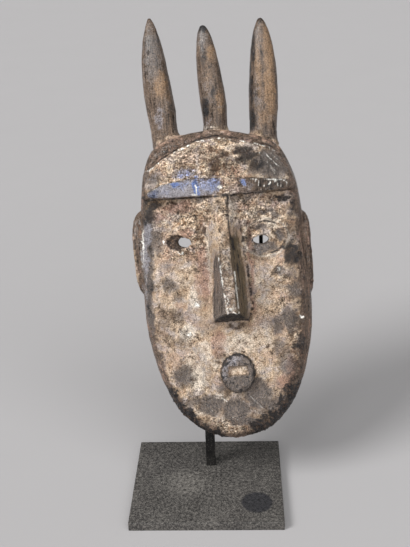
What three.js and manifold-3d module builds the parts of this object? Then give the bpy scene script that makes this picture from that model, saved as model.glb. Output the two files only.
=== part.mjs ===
// A carved wooden mask with three horns, standing on a steel plate, bar and fork.
// Millimetres, +Z up, the face towards -Y. The origin is the centre of the plate's underside.
// The mask is carved in its own upright frame: x to the right, y to the back, z up from the chin.

import * as THREE from 'three';
import { LoftGeometry } from 'three/addons/geometries/LoftGeometry.js';
import { mergeVertices } from 'three/addons/utils/BufferGeometryUtils.js';
import Module from 'manifold-3d';

const wasm = await Module();
wasm.setup();

// Where the mask hangs: its chin, and how it leans back, rolls and turns in degrees
const CHIN = new THREE.Vector3(33.5, -17.9, 70.1);
const LEAN = 16;
const ROLL = 4.05;
const TURN = 2;

// The head's outline: half widths at heights above the chin
const HALF_OUTLINE = [
  [24, 6], [40.5, 14.5], [58.4, 33], [69.4, 53], [78.6, 80], [85.2, 112], [86.9, 138],
  [84.7, 212], [80.3, 262], [75.8, 282], [68.5, 299], [60.8, 308.3], [34.4, 318.8],
];
const HEAD = {
  chin: 1.5,
  height: 323,
  halfWidth: 86.9,
  middle: 161.5,
  points: 96,
  crownSlope: 0.05,
  across: 9,
  along: 5,
  edge: 12,
  wall: 13,
  faceWall: 14,
  hollowCorner: 15,
  taper: 4,
};
// How far back the rim lies at the chin, at the temples and at the crown
const RIM = { chin: 40.1, temple: 94, crown: 84, from: 8, rise: 212, fall: 262, round: 2 };

// The carved face: hollows beside the nose under the brow, and a swelling at the nose's root
const SOCKET = { depth: 4, inner: 20, outer: 58, from: 157, to: 242 };
const NOSE_SWELL = { depth: 8, spread: 32, from: 202, to: 259 };
const FEATURE_LINE = 4.8;

const BAND = { foot: 260, least: 2, height: 10, arch: 8.2, middle: -8, halfSpan: 70, lean: 2.5 };
const FOREHEAD = {
  halfWidth: 79,
  step: 14.5,
  endStep: 4,
  root: 8,
  stations: 22,
  rings: 6,
};
// The crown's rim above the forehead is wider on the left
const CROWN_RIM = { middle: 6.2, slope: 0.12, least: 3 };
const GROOVE = { width: 2.4, halfWidth: 66, points: 24, steps: 36 };

// The nose from brow to tip: middle, half width and reach of ridge and base, width of flare
const NOSE = [
  { height: 260, ridgeX: 5, ridge: 5.1, reach: 12.6, x: 5, base: 9, baseReach: 9, flare: 13, rise: 0 },
  { height: 225, ridgeX: 4.4, ridge: 5.7, reach: 20, x: 2.6, base: 12.6, baseReach: 7, flare: 16, rise: 0 },
  { height: 198, ridgeX: 3.8, ridge: 6, reach: 25.6, x: 4, base: 14.2, baseReach: 7, flare: 18, rise: 0 },
  { height: 171, ridgeX: 5, ridge: 6.2, reach: 31.8, x: 5.2, base: 15.6, baseReach: 7, flare: 20, rise: 0 },
  { height: 129, ridgeX: 6.2, ridge: 5.9, reach: 38, x: 3, base: 18, baseReach: 7, flare: 20.5, rise: 0.42 },
];
const NOSE_ROOT = 6;

const MOUTH = {
  x: 6.2, height: 75, halfWidth: 17.2, halfHeight: 19.9, reach: 7, crown: 0.6, lip: 4, tilt: 5, root: 8,
};
const MOUTH_SLOT = { x: 7, height: 78.4, width: 20, depth: 5, rise: 10 };

const EYES = [
  { x: -37.6, height: 212.9, halfWidth: 7.8, halfHeight: 5.8 },
  { x: 39.7, height: 210.4, halfWidth: 8.4, halfHeight: 4.6 },
];

const EARS = [
  { side: -1, height: 201.5, halfHeight: 46, proud: 8.5, waist: 0 },
  { side: 1, height: 190, halfHeight: 45, proud: 6.5, waist: 2.4 },
];
const EAR = { depth: 32, halfDepth: 17, rib: 8.5, opening: 50, round: 2, root: 8, waistHeight: 12, ends: 7 };

// Each horn from its base to its tip, as [x, height], with its greatest width and the shape of its tip
const HORNS = [
  { line: [[-49.6, 309], [-52.8, 347], [-55.5, 383], [-56.6, 441.7]], width: 31, power: 3.4, blunt: 0.75 },
  { line: [[1.2, 313], [1.7, 344], [-0.6, 379], [-3.4, 429.5]], width: 27.5, power: 3, blunt: 0.5 },
  { line: [[48.6, 303], [52, 345], [54.2, 383], [54.9, 431.5]], width: 30.8, power: 3.6, blunt: 0.62 },
];
const HORN = {
  sides: 14,
  depth: 32,
  flatness: 0.92,
  stations: [0, 0.06, 0.13, 0.2, 0.3, 0.42, 0.54, 0.65, 0.75, 0.84, 0.91, 0.96, 0.99],
  neck: 0.1,
  neckAt: 0.15,
  neckSpread: 0.1,
};

// The small gap where one piece rests on another
const GAP = 0.3;

const PLATE = { width: 160, depth: 140, thickness: 10, edge: 0.6 };
const BAR = { side: 10, x: 2.7, y: 29.1, bend: 51, bendRadius: 30, bendSteps: 4, length: 150 };
const FORK = { side: 4, left: -36, right: 61.6, corner: 9, leftLeg: 134, rightLeg: 142 };

const WOOD = new THREE.MeshStandardMaterial({ name: 'carved_wood', color: 0x8a7052, roughness: 0.78 });
const STEEL = new THREE.MeshStandardMaterial({
  name: 'blackened_steel', color: 0x2b2a29, roughness: 0.55, metalness: 0.7,
});
const PLATE_STEEL = new THREE.MeshStandardMaterial({
  name: 'dusty_steel', color: 0x4b4743, roughness: 0.75, metalness: 0.5,
});

const radians = THREE.MathUtils.degToRad;
const smooth = THREE.MathUtils.smoothstep;

// A closed geometry as a solid that can be joined and cut
function solidOf(geometry) {
  const bare = new THREE.BufferGeometry();
  bare.setAttribute('position', geometry.attributes.position);
  bare.setIndex(geometry.index);
  const merged = mergeVertices(bare, 1e-4);
  const index = merged.index.array;
  const triangles = [];
  for (let i = 0; i < index.length; i += 3) {
    const [a, b, c] = index.slice(i, i + 3);
    if (a !== b && b !== c && c !== a) {
      triangles.push(a, b, c);
    }
  }
  return new wasm.Manifold(new wasm.Mesh({
    numProp: 3,
    vertProperties: new Float32Array(merged.attributes.position.array),
    triVerts: new Uint32Array(triangles),
  }));
}

function geometryOf(solid) {
  const mesh = solid.getMesh();
  const geometry = new THREE.BufferGeometry();
  geometry.setAttribute('position', new THREE.BufferAttribute(mesh.vertProperties, 3));
  geometry.setIndex(new THREE.BufferAttribute(mesh.triVerts, 1));
  geometry.computeVertexNormals();
  return geometry;
}

function loft(sections) {
  return new LoftGeometry(sections, { capStart: true, capEnd: true });
}

// The outline as an even ring of points, clockwise from the chin, its crown sloping to the right
function headOutline() {
  const half = (side) => HALF_OUTLINE.map(([width, height]) => new THREE.Vector3(side * width, height, 0));
  const curve = new THREE.CatmullRomCurve3([
    new THREE.Vector3(0, HEAD.chin, 0),
    ...half(-1),
    new THREE.Vector3(0, HEAD.height, 0),
    ...half(1).reverse(),
  ], true, 'centripetal');
  return curve.getSpacedPoints(HEAD.points).slice(0, HEAD.points).map((point) => {
    const slope = HEAD.crownSlope * point.x * smooth(point.y, 237, 307);
    return new THREE.Vector2(point.x, point.y - slope);
  });
}

const OUTLINE = headOutline();

// A point of the outline moved inwards by a distance
function inset(point, distance) {
  const x = point.x * (1 - distance / HEAD.halfWidth);
  const height = HEAD.middle + (point.y - HEAD.middle) * (1 - distance / HEAD.middle);
  return new THREE.Vector2(x, height);
}

// A point moved towards the middle of the face, down to a share of its distance
function towardsMiddle(point, share) {
  return new THREE.Vector2(point.x * share, HEAD.middle + (point.y - HEAD.middle) * share);
}

// The crown's height at a place from side to side
function crownHeight(x) {
  const upper = OUTLINE.filter((point) => point.y > HEAD.middle).sort((a, b) => a.x - b.x);
  const next = upper.findIndex((point) => point.x > x);
  const [a, b] = [upper[next - 1], upper[next]];
  return a.y + ((b.y - a.y) * (x - a.x)) / (b.x - a.x);
}

// The height of the groove between the forehead and the crown's rim
function foreheadTop(x) {
  const rim = Math.max(CROWN_RIM.least, CROWN_RIM.middle - CROWN_RIM.slope * x);
  return Math.max(crownHeight(x) - rim, BAND.foot + BAND.least);
}

// How far inside the outline a place lies
function edgeDistance(x, height) {
  const place = new THREE.Vector3(x, height, 0);
  const nearest = new THREE.Vector3();
  const distances = OUTLINE.map((point, i) => {
    const after = OUTLINE[(i + 1) % OUTLINE.length];
    const stretch = new THREE.Line3(
      new THREE.Vector3(point.x, point.y, 0),
      new THREE.Vector3(after.x, after.y, 0),
    );
    return stretch.closestPointToPoint(place, true, nearest).distanceTo(place);
  });
  return Math.min(...distances);
}

// How far back the plain face lies: rounded from side to side, a little towards chin and crown
function plainDepth(x, height) {
  const across = HEAD.across * (Math.abs(x) / HEAD.halfWidth) ** 2.4;
  const along = HEAD.along * ((height - HEAD.middle) / HEAD.middle) ** 2;
  return across + along;
}

// The plain face with its rounded edge
function roundedDepth(x, height) {
  const beyond = Math.max(0, 1 - edgeDistance(x, height) / HEAD.edge);
  return plainDepth(x, height) + HEAD.edge * (1 - Math.sqrt(1 - beyond ** 2));
}

function faceDepth(x, height) {
  const beside = Math.abs(x - FEATURE_LINE);
  const socket = SOCKET.depth
    * smooth(beside, SOCKET.inner, SOCKET.outer)
    * smooth(height, SOCKET.from, SOCKET.to);
  const swell = NOSE_SWELL.depth
    * Math.exp(-((beside / NOSE_SWELL.spread) ** 2))
    * smooth(height, NOSE_SWELL.from, NOSE_SWELL.to);
  const underForehead = 1 - smooth(height, BAND.foot, BAND.foot + 30);
  return plainDepth(x, height) + (socket - swell) * underForehead;
}

function rimDepth(height) {
  const rise = Math.sin((Math.PI / 2) * smooth(height, RIM.from, RIM.rise));
  const fall = smooth(height, RIM.fall, HEAD.height);
  return RIM.chin + (RIM.temple - RIM.chin) * rise - (RIM.temple - RIM.crown) * fall;
}

// The hollow head: rings from the middle of the face over its edge, round the rim and into the hollow
function headSolid() {
  const ring = (place, depth) => OUTLINE.map((point) => {
    const at = place(point);
    return new THREE.Vector3(at.x, depth(at.x, at.y), at.y);
  });
  const sections = [];
  for (const share of [0, 0.22, 0.4, 0.54, 0.66, 0.77, 0.87, 0.95]) {
    sections.push(ring((point) => towardsMiddle(inset(point, HEAD.edge), share), faceDepth));
  }
  for (const degrees of [0, 22, 44, 66, 90]) {
    const a = radians(degrees);
    sections.push(ring(
      (point) => inset(point, HEAD.edge * (1 - Math.sin(a))),
      (x, height) => faceDepth(x, height) + HEAD.edge * (1 - Math.cos(a)),
    ));
  }
  const front = HEAD.edge + HEAD.across;
  const side = (share, distance, shorter) => ring(
    (point) => inset(point, distance),
    (x, height) => front + (rimDepth(height) - front) * share - shorter,
  );
  sections.push(side(0.5, 1, 0));
  sections.push(side(1, HEAD.taper, RIM.round));
  sections.push(side(1, HEAD.taper + RIM.round, 0));
  sections.push(side(1, HEAD.taper + HEAD.wall - RIM.round, 0));
  sections.push(side(1, HEAD.taper + HEAD.wall, RIM.round));
  for (const degrees of [90, 60, 30, 0]) {
    const a = radians(degrees);
    sections.push(ring(
      (point) => inset(point, HEAD.wall + HEAD.hollowCorner * (1 - Math.sin(a))),
      (x, height) => plainDepth(x, height) + HEAD.faceWall + HEAD.hollowCorner * (1 - Math.cos(a)),
    ));
  }
  for (const share of [0.7, 0.4, 0]) {
    sections.push(ring(
      (point) => towardsMiddle(inset(point, HEAD.wall + HEAD.hollowCorner), share),
      (x, height) => plainDepth(x, height) + HEAD.faceWall,
    ));
  }
  return solidOf(new LoftGeometry(sections));
}

// The forehead: a flat brow band below, and above it a surface that rounds back to the crown's groove
function foreheadSection(x) {
  const top = foreheadTop(x);
  const arch = 1 - ((x - BAND.middle) / BAND.halfSpan) ** 2;
  const bandTop = Math.min(BAND.foot + BAND.height + BAND.arch * arch, (BAND.foot + 2 * top) / 3);
  const share = Math.abs(x) / FOREHEAD.halfWidth;
  const step = FOREHEAD.endStep + (FOREHEAD.step - FOREHEAD.endStep) * (1 - share ** 3);
  const foot = roundedDepth(x, BAND.foot);
  const front = foot - step;
  const topDepth = roundedDepth(x, top) + 1;
  const section = [
    new THREE.Vector3(x, foot + FOREHEAD.root, BAND.foot),
    new THREE.Vector3(x, topDepth + FOREHEAD.root, top),
  ];
  for (let k = FOREHEAD.rings; k >= 0; k -= 1) {
    const a = (Math.PI / 2) * (k / FOREHEAD.rings);
    const depth = topDepth + (front - topDepth) * Math.cos(a);
    section.push(new THREE.Vector3(x, depth, bandTop + (top - bandTop) * Math.sin(a)));
  }
  section.push(new THREE.Vector3(x, front + BAND.lean, BAND.foot));
  return section;
}

function foreheadSolid() {
  const sections = [];
  for (let i = 0; i <= FOREHEAD.stations; i += 1) {
    sections.push(foreheadSection(-FOREHEAD.halfWidth * Math.cos((Math.PI * i) / FOREHEAD.stations)));
  }
  return solidOf(loft(sections));
}

function grooveSolid() {
  const points = [];
  for (let i = 0; i <= GROOVE.points; i += 1) {
    const x = GROOVE.halfWidth * (2 * (i / GROOVE.points) - 1);
    points.push(new THREE.Vector3(x, roundedDepth(x, foreheadTop(x)), foreheadTop(x)));
  }
  const section = new THREE.Shape();
  section.absarc(0, 0, GROOVE.width / 2, 0, 2 * Math.PI);
  return solidOf(new THREE.ExtrudeGeometry(section, {
    steps: GROOVE.steps,
    extrudePath: new THREE.CatmullRomCurve3(points),
    curveSegments: 3,
    bevelEnabled: false,
  }));
}

// The nose: a flat ridge between slanting sides that flare into the face, its underside sloping up
function noseSolid() {
  const sections = NOSE.map((station) => {
    const at = (middle, halfWidth, reach) => new THREE.Vector3(
      middle + halfWidth,
      -reach,
      station.height + station.rise * reach,
    );
    return [
      at(station.x, station.flare, -NOSE_ROOT),
      at(station.x, station.flare, 0),
      at(station.x, station.base, station.baseReach),
      at(station.ridgeX, station.ridge, station.reach),
      at(station.ridgeX, -station.ridge, station.reach),
      at(station.x, -station.base, station.baseReach),
      at(station.x, -station.flare, 0),
      at(station.x, -station.flare, -NOSE_ROOT),
    ];
  });
  return solidOf(loft(sections));
}

// The round mouth, standing out more at the lower lip
function mouthSolid() {
  const { x, height, halfWidth, halfHeight, reach, crown, lip, tilt, root } = MOUTH;
  const profile = [new THREE.Vector2(0, -root), new THREE.Vector2(1, -root)];
  for (const degrees of [0, 22, 45, 67, 90]) {
    const a = radians(degrees);
    profile.push(new THREE.Vector2(
      1 - (lip / halfWidth) * (1 - Math.cos(a)),
      reach - lip * (1 - Math.sin(a)),
    ));
  }
  profile.push(new THREE.Vector2(0, reach + crown));
  const disc = new THREE.LatheGeometry(profile, 28);
  disc.scale(halfWidth, 1, halfHeight);
  disc.rotateX(Math.PI - radians(tilt));
  disc.translate(x, faceDepth(x, height), height);
  return solidOf(disc);
}

function mouthSlotSolid() {
  const { x, height, width, depth, rise } = MOUTH_SLOT;
  const slot = new THREE.BoxGeometry(width, 2 * depth, rise);
  slot.translate(x, faceDepth(x, height) - MOUTH.reach, height);
  return solidOf(slot);
}

function eyeSolid(eye) {
  const hole = new THREE.Shape();
  hole.absellipse(0, 0, eye.halfWidth, eye.halfHeight, 0, 2 * Math.PI);
  const cut = new THREE.ExtrudeGeometry(hole, {
    depth: 4 * HEAD.faceWall,
    curveSegments: 7,
    bevelEnabled: false,
  });
  cut.rotateX(Math.PI / 2);
  cut.translate(eye.x, 3 * HEAD.faceWall, eye.height);
  return solidOf(cut);
}

// An ear: a C-shaped rib on the side of the head, open to the back and lower at its waist and ends
function earSolid(ear) {
  const open = radians(EAR.opening);
  const shape = new THREE.Shape();
  shape.absellipse(0, 0, EAR.halfDepth, ear.halfHeight, open, 2 * Math.PI - open);
  shape.absellipse(
    0, 0, EAR.halfDepth - EAR.rib, ear.halfHeight - EAR.rib, 2 * Math.PI - open, open, true,
  );
  const rib = new THREE.ExtrudeGeometry(shape, {
    depth: EAR.root + ear.proud - 2 * EAR.round,
    curveSegments: 10,
    bevelSize: EAR.round,
    bevelThickness: EAR.round,
    bevelOffset: -EAR.round,
    bevelSegments: 1,
  });
  rib.translate(0, 0, EAR.round);
  const position = rib.attributes.position;
  for (let i = 0; i < position.count; i += 1) {
    const waist = ear.waist * Math.exp(-((position.getY(i) / EAR.waistHeight) ** 2));
    const end = ear.proud * (Math.abs(position.getY(i)) / ear.halfHeight) ** EAR.ends;
    const height = position.getZ(i);
    position.setZ(i, height - ((waist + end) * height) / (EAR.root + ear.proud));
  }
  rib.applyMatrix4(new THREE.Matrix4().makeBasis(
    new THREE.Vector3(0, 1, 0),
    new THREE.Vector3(0, 0, ear.side),
    new THREE.Vector3(ear.side, 0, 0),
  ));
  rib.translate(ear.side * (HEAD.halfWidth - 2.5 - EAR.root), EAR.depth, ear.height);
  return solidOf(rib);
}

// A horn: round sections along its line, from inside the crown past a narrower neck to its tip
function hornSolid(horn) {
  const line = new THREE.CatmullRomCurve3(
    horn.line.map(([x, height]) => new THREE.Vector3(x, HORN.depth, height)),
  );
  const sections = HORN.stations.map((share) => {
    const centre = line.getPointAt(share);
    const neck = 1 - HORN.neck * Math.exp(-(((share - HORN.neckAt) / HORN.neckSpread) ** 2));
    const radius = (horn.width / 2) * neck * (1 - share ** horn.power) ** horn.blunt;
    return Array.from({ length: HORN.sides }, (unused, i) => {
      const a = (2 * Math.PI * i) / HORN.sides;
      const out = new THREE.Vector3(Math.cos(a), HORN.flatness * Math.sin(a), 0);
      return out.multiplyScalar(radius).add(centre);
    });
  });
  return solidOf(loft(sections));
}

function maskSolid() {
  const joined = [
    foreheadSolid(), noseSolid(), mouthSolid(), ...EARS.map(earSolid), ...HORNS.map(hornSolid),
  ];
  const cuts = [grooveSolid(), mouthSlotSolid(), ...EYES.map(eyeSolid)];
  const whole = joined.reduce((solid, next) => solid.add(next), headSolid());
  return cuts.reduce((solid, next) => solid.subtract(next), whole);
}

function maskPiece() {
  const mask = new THREE.Mesh(geometryOf(maskSolid()), WOOD);
  mask.name = 'mask';
  mask.position.copy(CHIN);
  mask.rotation.set(radians(-LEAN), radians(-ROLL), radians(-TURN), 'ZXY');
  return mask;
}

function platePiece() {
  const { width, depth, thickness, edge } = PLATE;
  const shape = new THREE.Shape();
  shape.moveTo(-width / 2, -depth / 2);
  shape.lineTo(width / 2, -depth / 2);
  shape.lineTo(width / 2, depth / 2);
  shape.lineTo(-width / 2, depth / 2);
  shape.closePath();
  const geometry = new THREE.ExtrudeGeometry(shape, {
    depth: thickness - 2 * edge,
    bevelSize: edge,
    bevelThickness: edge,
    bevelOffset: -edge,
    bevelSegments: 1,
  });
  geometry.translate(0, 0, edge);
  const plate = new THREE.Mesh(geometry, PLATE_STEEL);
  plate.name = 'base_plate';
  return plate;
}

// The upright bar's middle line as [y, z] points: straight up, then bent back to lean with the mask
function barLine() {
  const lean = radians(LEAN);
  const line = [new THREE.Vector2(BAR.y, PLATE.thickness)];
  for (let k = 0; k <= BAR.bendSteps; k += 1) {
    const a = (lean * k) / BAR.bendSteps;
    line.push(new THREE.Vector2(
      BAR.y + BAR.bendRadius * (1 - Math.cos(a)),
      BAR.bend + BAR.bendRadius * Math.sin(a),
    ));
  }
  const along = new THREE.Vector2(Math.sin(lean), Math.cos(lean));
  line.push(line.at(-1).clone().addScaledVector(along, BAR.length));
  return line;
}

function barPiece() {
  const line = barLine();
  const edge = (side) => line.map((point, i) => {
    const a = radians(LEAN) * THREE.MathUtils.clamp((i - 1) / BAR.bendSteps, 0, 1);
    const across = new THREE.Vector2(Math.cos(a), -Math.sin(a));
    return point.clone().addScaledVector(across, (side * BAR.side) / 2);
  });
  const shape = new THREE.Shape([...edge(1), ...edge(-1).reverse()]);
  const geometry = new THREE.ExtrudeGeometry(shape, { depth: BAR.side, bevelEnabled: false });
  geometry.applyMatrix4(new THREE.Matrix4().makeBasis(
    new THREE.Vector3(0, 1, 0),
    new THREE.Vector3(0, 0, 1),
    new THREE.Vector3(1, 0, 0),
  ));
  geometry.translate(BAR.x - BAR.side / 2, 0, 0);
  const bar = new THREE.Mesh(geometry, STEEL);
  bar.name = 'upright_bar';
  return bar;
}

// The fork: a thin bar bent to a U, its foot across the top of the upright bar
function forkPiece() {
  const half = FORK.side / 2;
  const { left, right, corner, leftLeg, rightLeg } = FORK;
  const shape = new THREE.Shape();
  shape.moveTo(left - half, leftLeg);
  shape.absarc(left + corner, corner, corner + half, Math.PI, 1.5 * Math.PI);
  shape.absarc(right - corner, corner, corner + half, 1.5 * Math.PI, 2 * Math.PI);
  shape.lineTo(right + half, rightLeg);
  shape.lineTo(right - half, rightLeg);
  shape.absarc(right - corner, corner, corner - half, 2 * Math.PI, 1.5 * Math.PI, true);
  shape.absarc(left + corner, corner, corner - half, 1.5 * Math.PI, Math.PI, true);
  shape.lineTo(left + half, leftLeg);
  shape.closePath();
  const geometry = new THREE.ExtrudeGeometry(shape, {
    depth: FORK.side, curveSegments: 5, bevelEnabled: false,
  });
  geometry.rotateX(Math.PI / 2);
  geometry.translate(0, half, half + GAP);
  const top = barLine().at(-1);
  const fork = new THREE.Mesh(geometry, STEEL);
  fork.name = 'fork';
  fork.position.set(0, top.x, top.y);
  fork.rotation.x = radians(-LEAN);
  return fork;
}

const object = new THREE.Group();
object.add(platePiece(), barPiece(), forkPiece(), maskPiece());

export default object;
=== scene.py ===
"""A horned wooden mask on its steel stand: worn wood, pigment crust, blue paint and blackened steel."""

import math
from types import SimpleNamespace

import bmesh
import bpy
import numpy as np
from bpy.props import FloatProperty, FloatVectorProperty, PointerProperty
from mathutils import Matrix, Vector, kdtree, noise


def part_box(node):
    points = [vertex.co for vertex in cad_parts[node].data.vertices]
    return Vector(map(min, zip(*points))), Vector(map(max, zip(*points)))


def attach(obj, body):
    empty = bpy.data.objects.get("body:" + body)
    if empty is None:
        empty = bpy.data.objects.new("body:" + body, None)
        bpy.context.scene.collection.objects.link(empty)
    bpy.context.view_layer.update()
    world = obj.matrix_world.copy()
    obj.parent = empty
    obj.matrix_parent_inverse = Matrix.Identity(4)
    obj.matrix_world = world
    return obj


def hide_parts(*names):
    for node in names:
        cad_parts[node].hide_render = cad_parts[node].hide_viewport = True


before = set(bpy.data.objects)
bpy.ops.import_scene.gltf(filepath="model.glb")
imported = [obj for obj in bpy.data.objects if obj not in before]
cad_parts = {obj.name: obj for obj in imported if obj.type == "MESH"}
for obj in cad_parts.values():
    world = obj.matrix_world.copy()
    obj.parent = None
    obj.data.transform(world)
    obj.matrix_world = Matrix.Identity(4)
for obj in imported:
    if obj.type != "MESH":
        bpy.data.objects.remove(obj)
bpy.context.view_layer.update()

bl_info = {
    "name": "Horned Mask on a Stand",
    "version": (1, 0, 0),
    "blender": (4, 5, 0),
    "location": "View3D > Sidebar > Mask",
    "description": "Carves and paints a horned wooden mask and finishes its steel stand",
    "category": "Add Mesh",
}

MM = 0.001

# The mask's own frame, in millimetres: across to the right, depth to the back, height above the chin
CHIN = Vector((33.5, -17.9, 70.1)) * MM
LEAN = math.radians(16)
ROLL = math.radians(4.05)
TURN = math.radians(2)
MASK_TURN = (
    Matrix.Rotation(-TURN, 3, "Z")
    @ Matrix.Rotation(-LEAN, 3, "X")
    @ Matrix.Rotation(-ROLL, 3, "Y")
)

# The head's outline, as height and half width
HEAD_OUTLINE = (
    (1.5, 0), (6, 24), (14.5, 40.5), (33, 58.4), (53, 69.4), (80, 78.6), (112, 85.2), (138, 86.9),
    (212, 84.7), (262, 80.3), (282, 75.8), (299, 68.5), (308.3, 60.8), (318.8, 34.4), (323, 0),
)
HEAD_MIDDLE = 161.5
HEAD_HALF_WIDTH = 87

# Thickness of the wall between the outline and the hollow, and between the face and the hollow
WALL = 10

# The crown as places across and heights, how it slants, and the heights between which it comes to slant
CROWN = ((0, 323), (34.4, 318.8), (60.8, 308.3), (68.5, 299), (76, 282))
CROWN_SLOPE = 0.05
SLANT = (237, 307)

# The horns' middles, as places across, and the height above which they rise
HORNS = (-46, 3, 52)
HORN_FOOT = 300

# The brow band between its straight foot and its arched top, as places across and heights
BAND_FOOT = 260
BAND_PEAK = 278
BAND_MIDDLE = 1.5
BAND_HALF_WIDTH = 74
BAND_TOP = (
    (-79, 262), (-69, 267), (-56, 272.8), (-43, 275.4), (-31, 277), (-15, 277.7), (2, 276.8),
    (38, 273.2), (68, 269.7), (79, 262),
)
GROOVE = (
    (-67, 290), (-60, 294.7), (-52, 300), (-33.6, 309), (-13.4, 315.6), (2, 317.6), (17, 315),
    (35, 310.5), (51, 305.6), (63, 299), (69, 291),
)

# The nose: its middle as heights and places across, the lines beside it, and where its ridge begins
NOSE_FOOT = 130
NOSE_TOP = 258
NOSE_HALF_WIDTH = 21
NOSE_RAISED = -9
NOSE_MIDDLE = ((130, 6.2), (171, 5), (198, 3.8), (225, 4.4), (260, 5))
NOSE_SEAM = ((19.5, 232), (21, 222), (23, 192), (25, 164), (26.5, 145), (23.5, 131))
NOSE_CUT = ((10.8, 260), (10, 244), (9.6, 231), (11, 216))

# The depth in front of which the nose's left side is dark, as heights and depths
LEFT_PATINA = ((130, -2), (150, -4), (185, -8), (200, -14), (212, -24))

# Middles as place across and height, and sizes as half width and half height
LEFT_EYE = (-46.5, 213.6)
LEFT_EYE_SCOOP = (11.5, 10)
LEFT_HOLE = (-37.6, 212.9)
RIGHT_EYE = (44.6, 212.6)
RIGHT_EYE_RING = (20, 16.2)
EYE_WALL = (14, 12)
MOUTH = (6.2, 75)
MOUTH_SIZE = (17.2, 19.9)
MOUTH_SLOT = (7, 78.4)
MOUTH_SLOT_SIZE = (10, 5)
MOUTH_NICK = (21.2, 92)
CHIN_PATCH = ((0, 12), (16, 9))

# About the mean half width of the eye's ring and the mouth: it turns an oval's share into millimetres
RING_SPAN = 18

# Fine cracks in the surface, each as a line of places across and heights
CRACKS = (
    ((3, 49), (11, 42), (18, 37), (25, 29)),
    ((17, 56), (22, 61), (27, 66)),
    ((-22, 70), (-24, 88), (-27, 104), (-31, 122)),
    ((-9, 20), (-3, 30), (4, 40)),
)

# Thin light scratches, worn edges and painted highlights, each as its two ends and strength: the lines on
# the forehead's right and down the left rim are painted highlights, and those along the nose's ridge are
# partly worn edges and partly painted highlights
SCRATCHES_AND_HIGHLIGHTS = (
    ((50, 296), (62, 283), 0.8), ((47, 292), (55, 284), 0.6), ((56, 296), (64, 287), 0.6),
    ((-2.4, 199), (0, 168), 1), ((0, 168), (2.4, 150), 1), ((12, 184), (13.4, 144), 1),
    ((1, 160), (3, 144), 0.9), ((44, 298), (60, 277), 0.5), ((51, 290), (58, 276), 0.6),
    ((39, 290), (47, 281), 0.4), ((4, 150), (12, 144), 0.8), ((34, 272.6), (56, 270.4), 0.9),
    ((56, 270.4), (72, 267), 0.9), ((-72, 264.5), (-60, 271), 0.9), ((-71, 259), (-52, 258.4), 0.5),
    ((-84, 214), (-85, 190), 0.7), ((-79, 206), (-81, 176), 0.5), ((3, 49), (17, 37), 0.5),
    ((17, 37), (25, 29), 0.5), ((-22, 70), (-27, 104), 0.4), ((-27, 104), (-31, 122), 0.4),
    ((-9, 20), (4, 40), 0.5), ((14, 40), (30, 47), 0.4), ((-81, 230), (-83, 180), 0.7),
    ((-4, 33), (14, 26), 0.4), ((-16, 52), (-8, 45), 0.8), ((-30, 44), (-20, 30), 0.5),
    ((-20, 46), (-12, 36), 0.4), ((2, 30), (10, 20), 0.5), ((16, 50), (30, 34), 0.6),
    ((24, 58), (32, 46), 0.4), ((-12, 34), (2, 24), 0.5), ((28, 42), (38, 36), 0.4),
    ((-37, 160), (-31, 140), 0.5), ((-82, 170), (-80, 140), 0.4),
)
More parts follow.
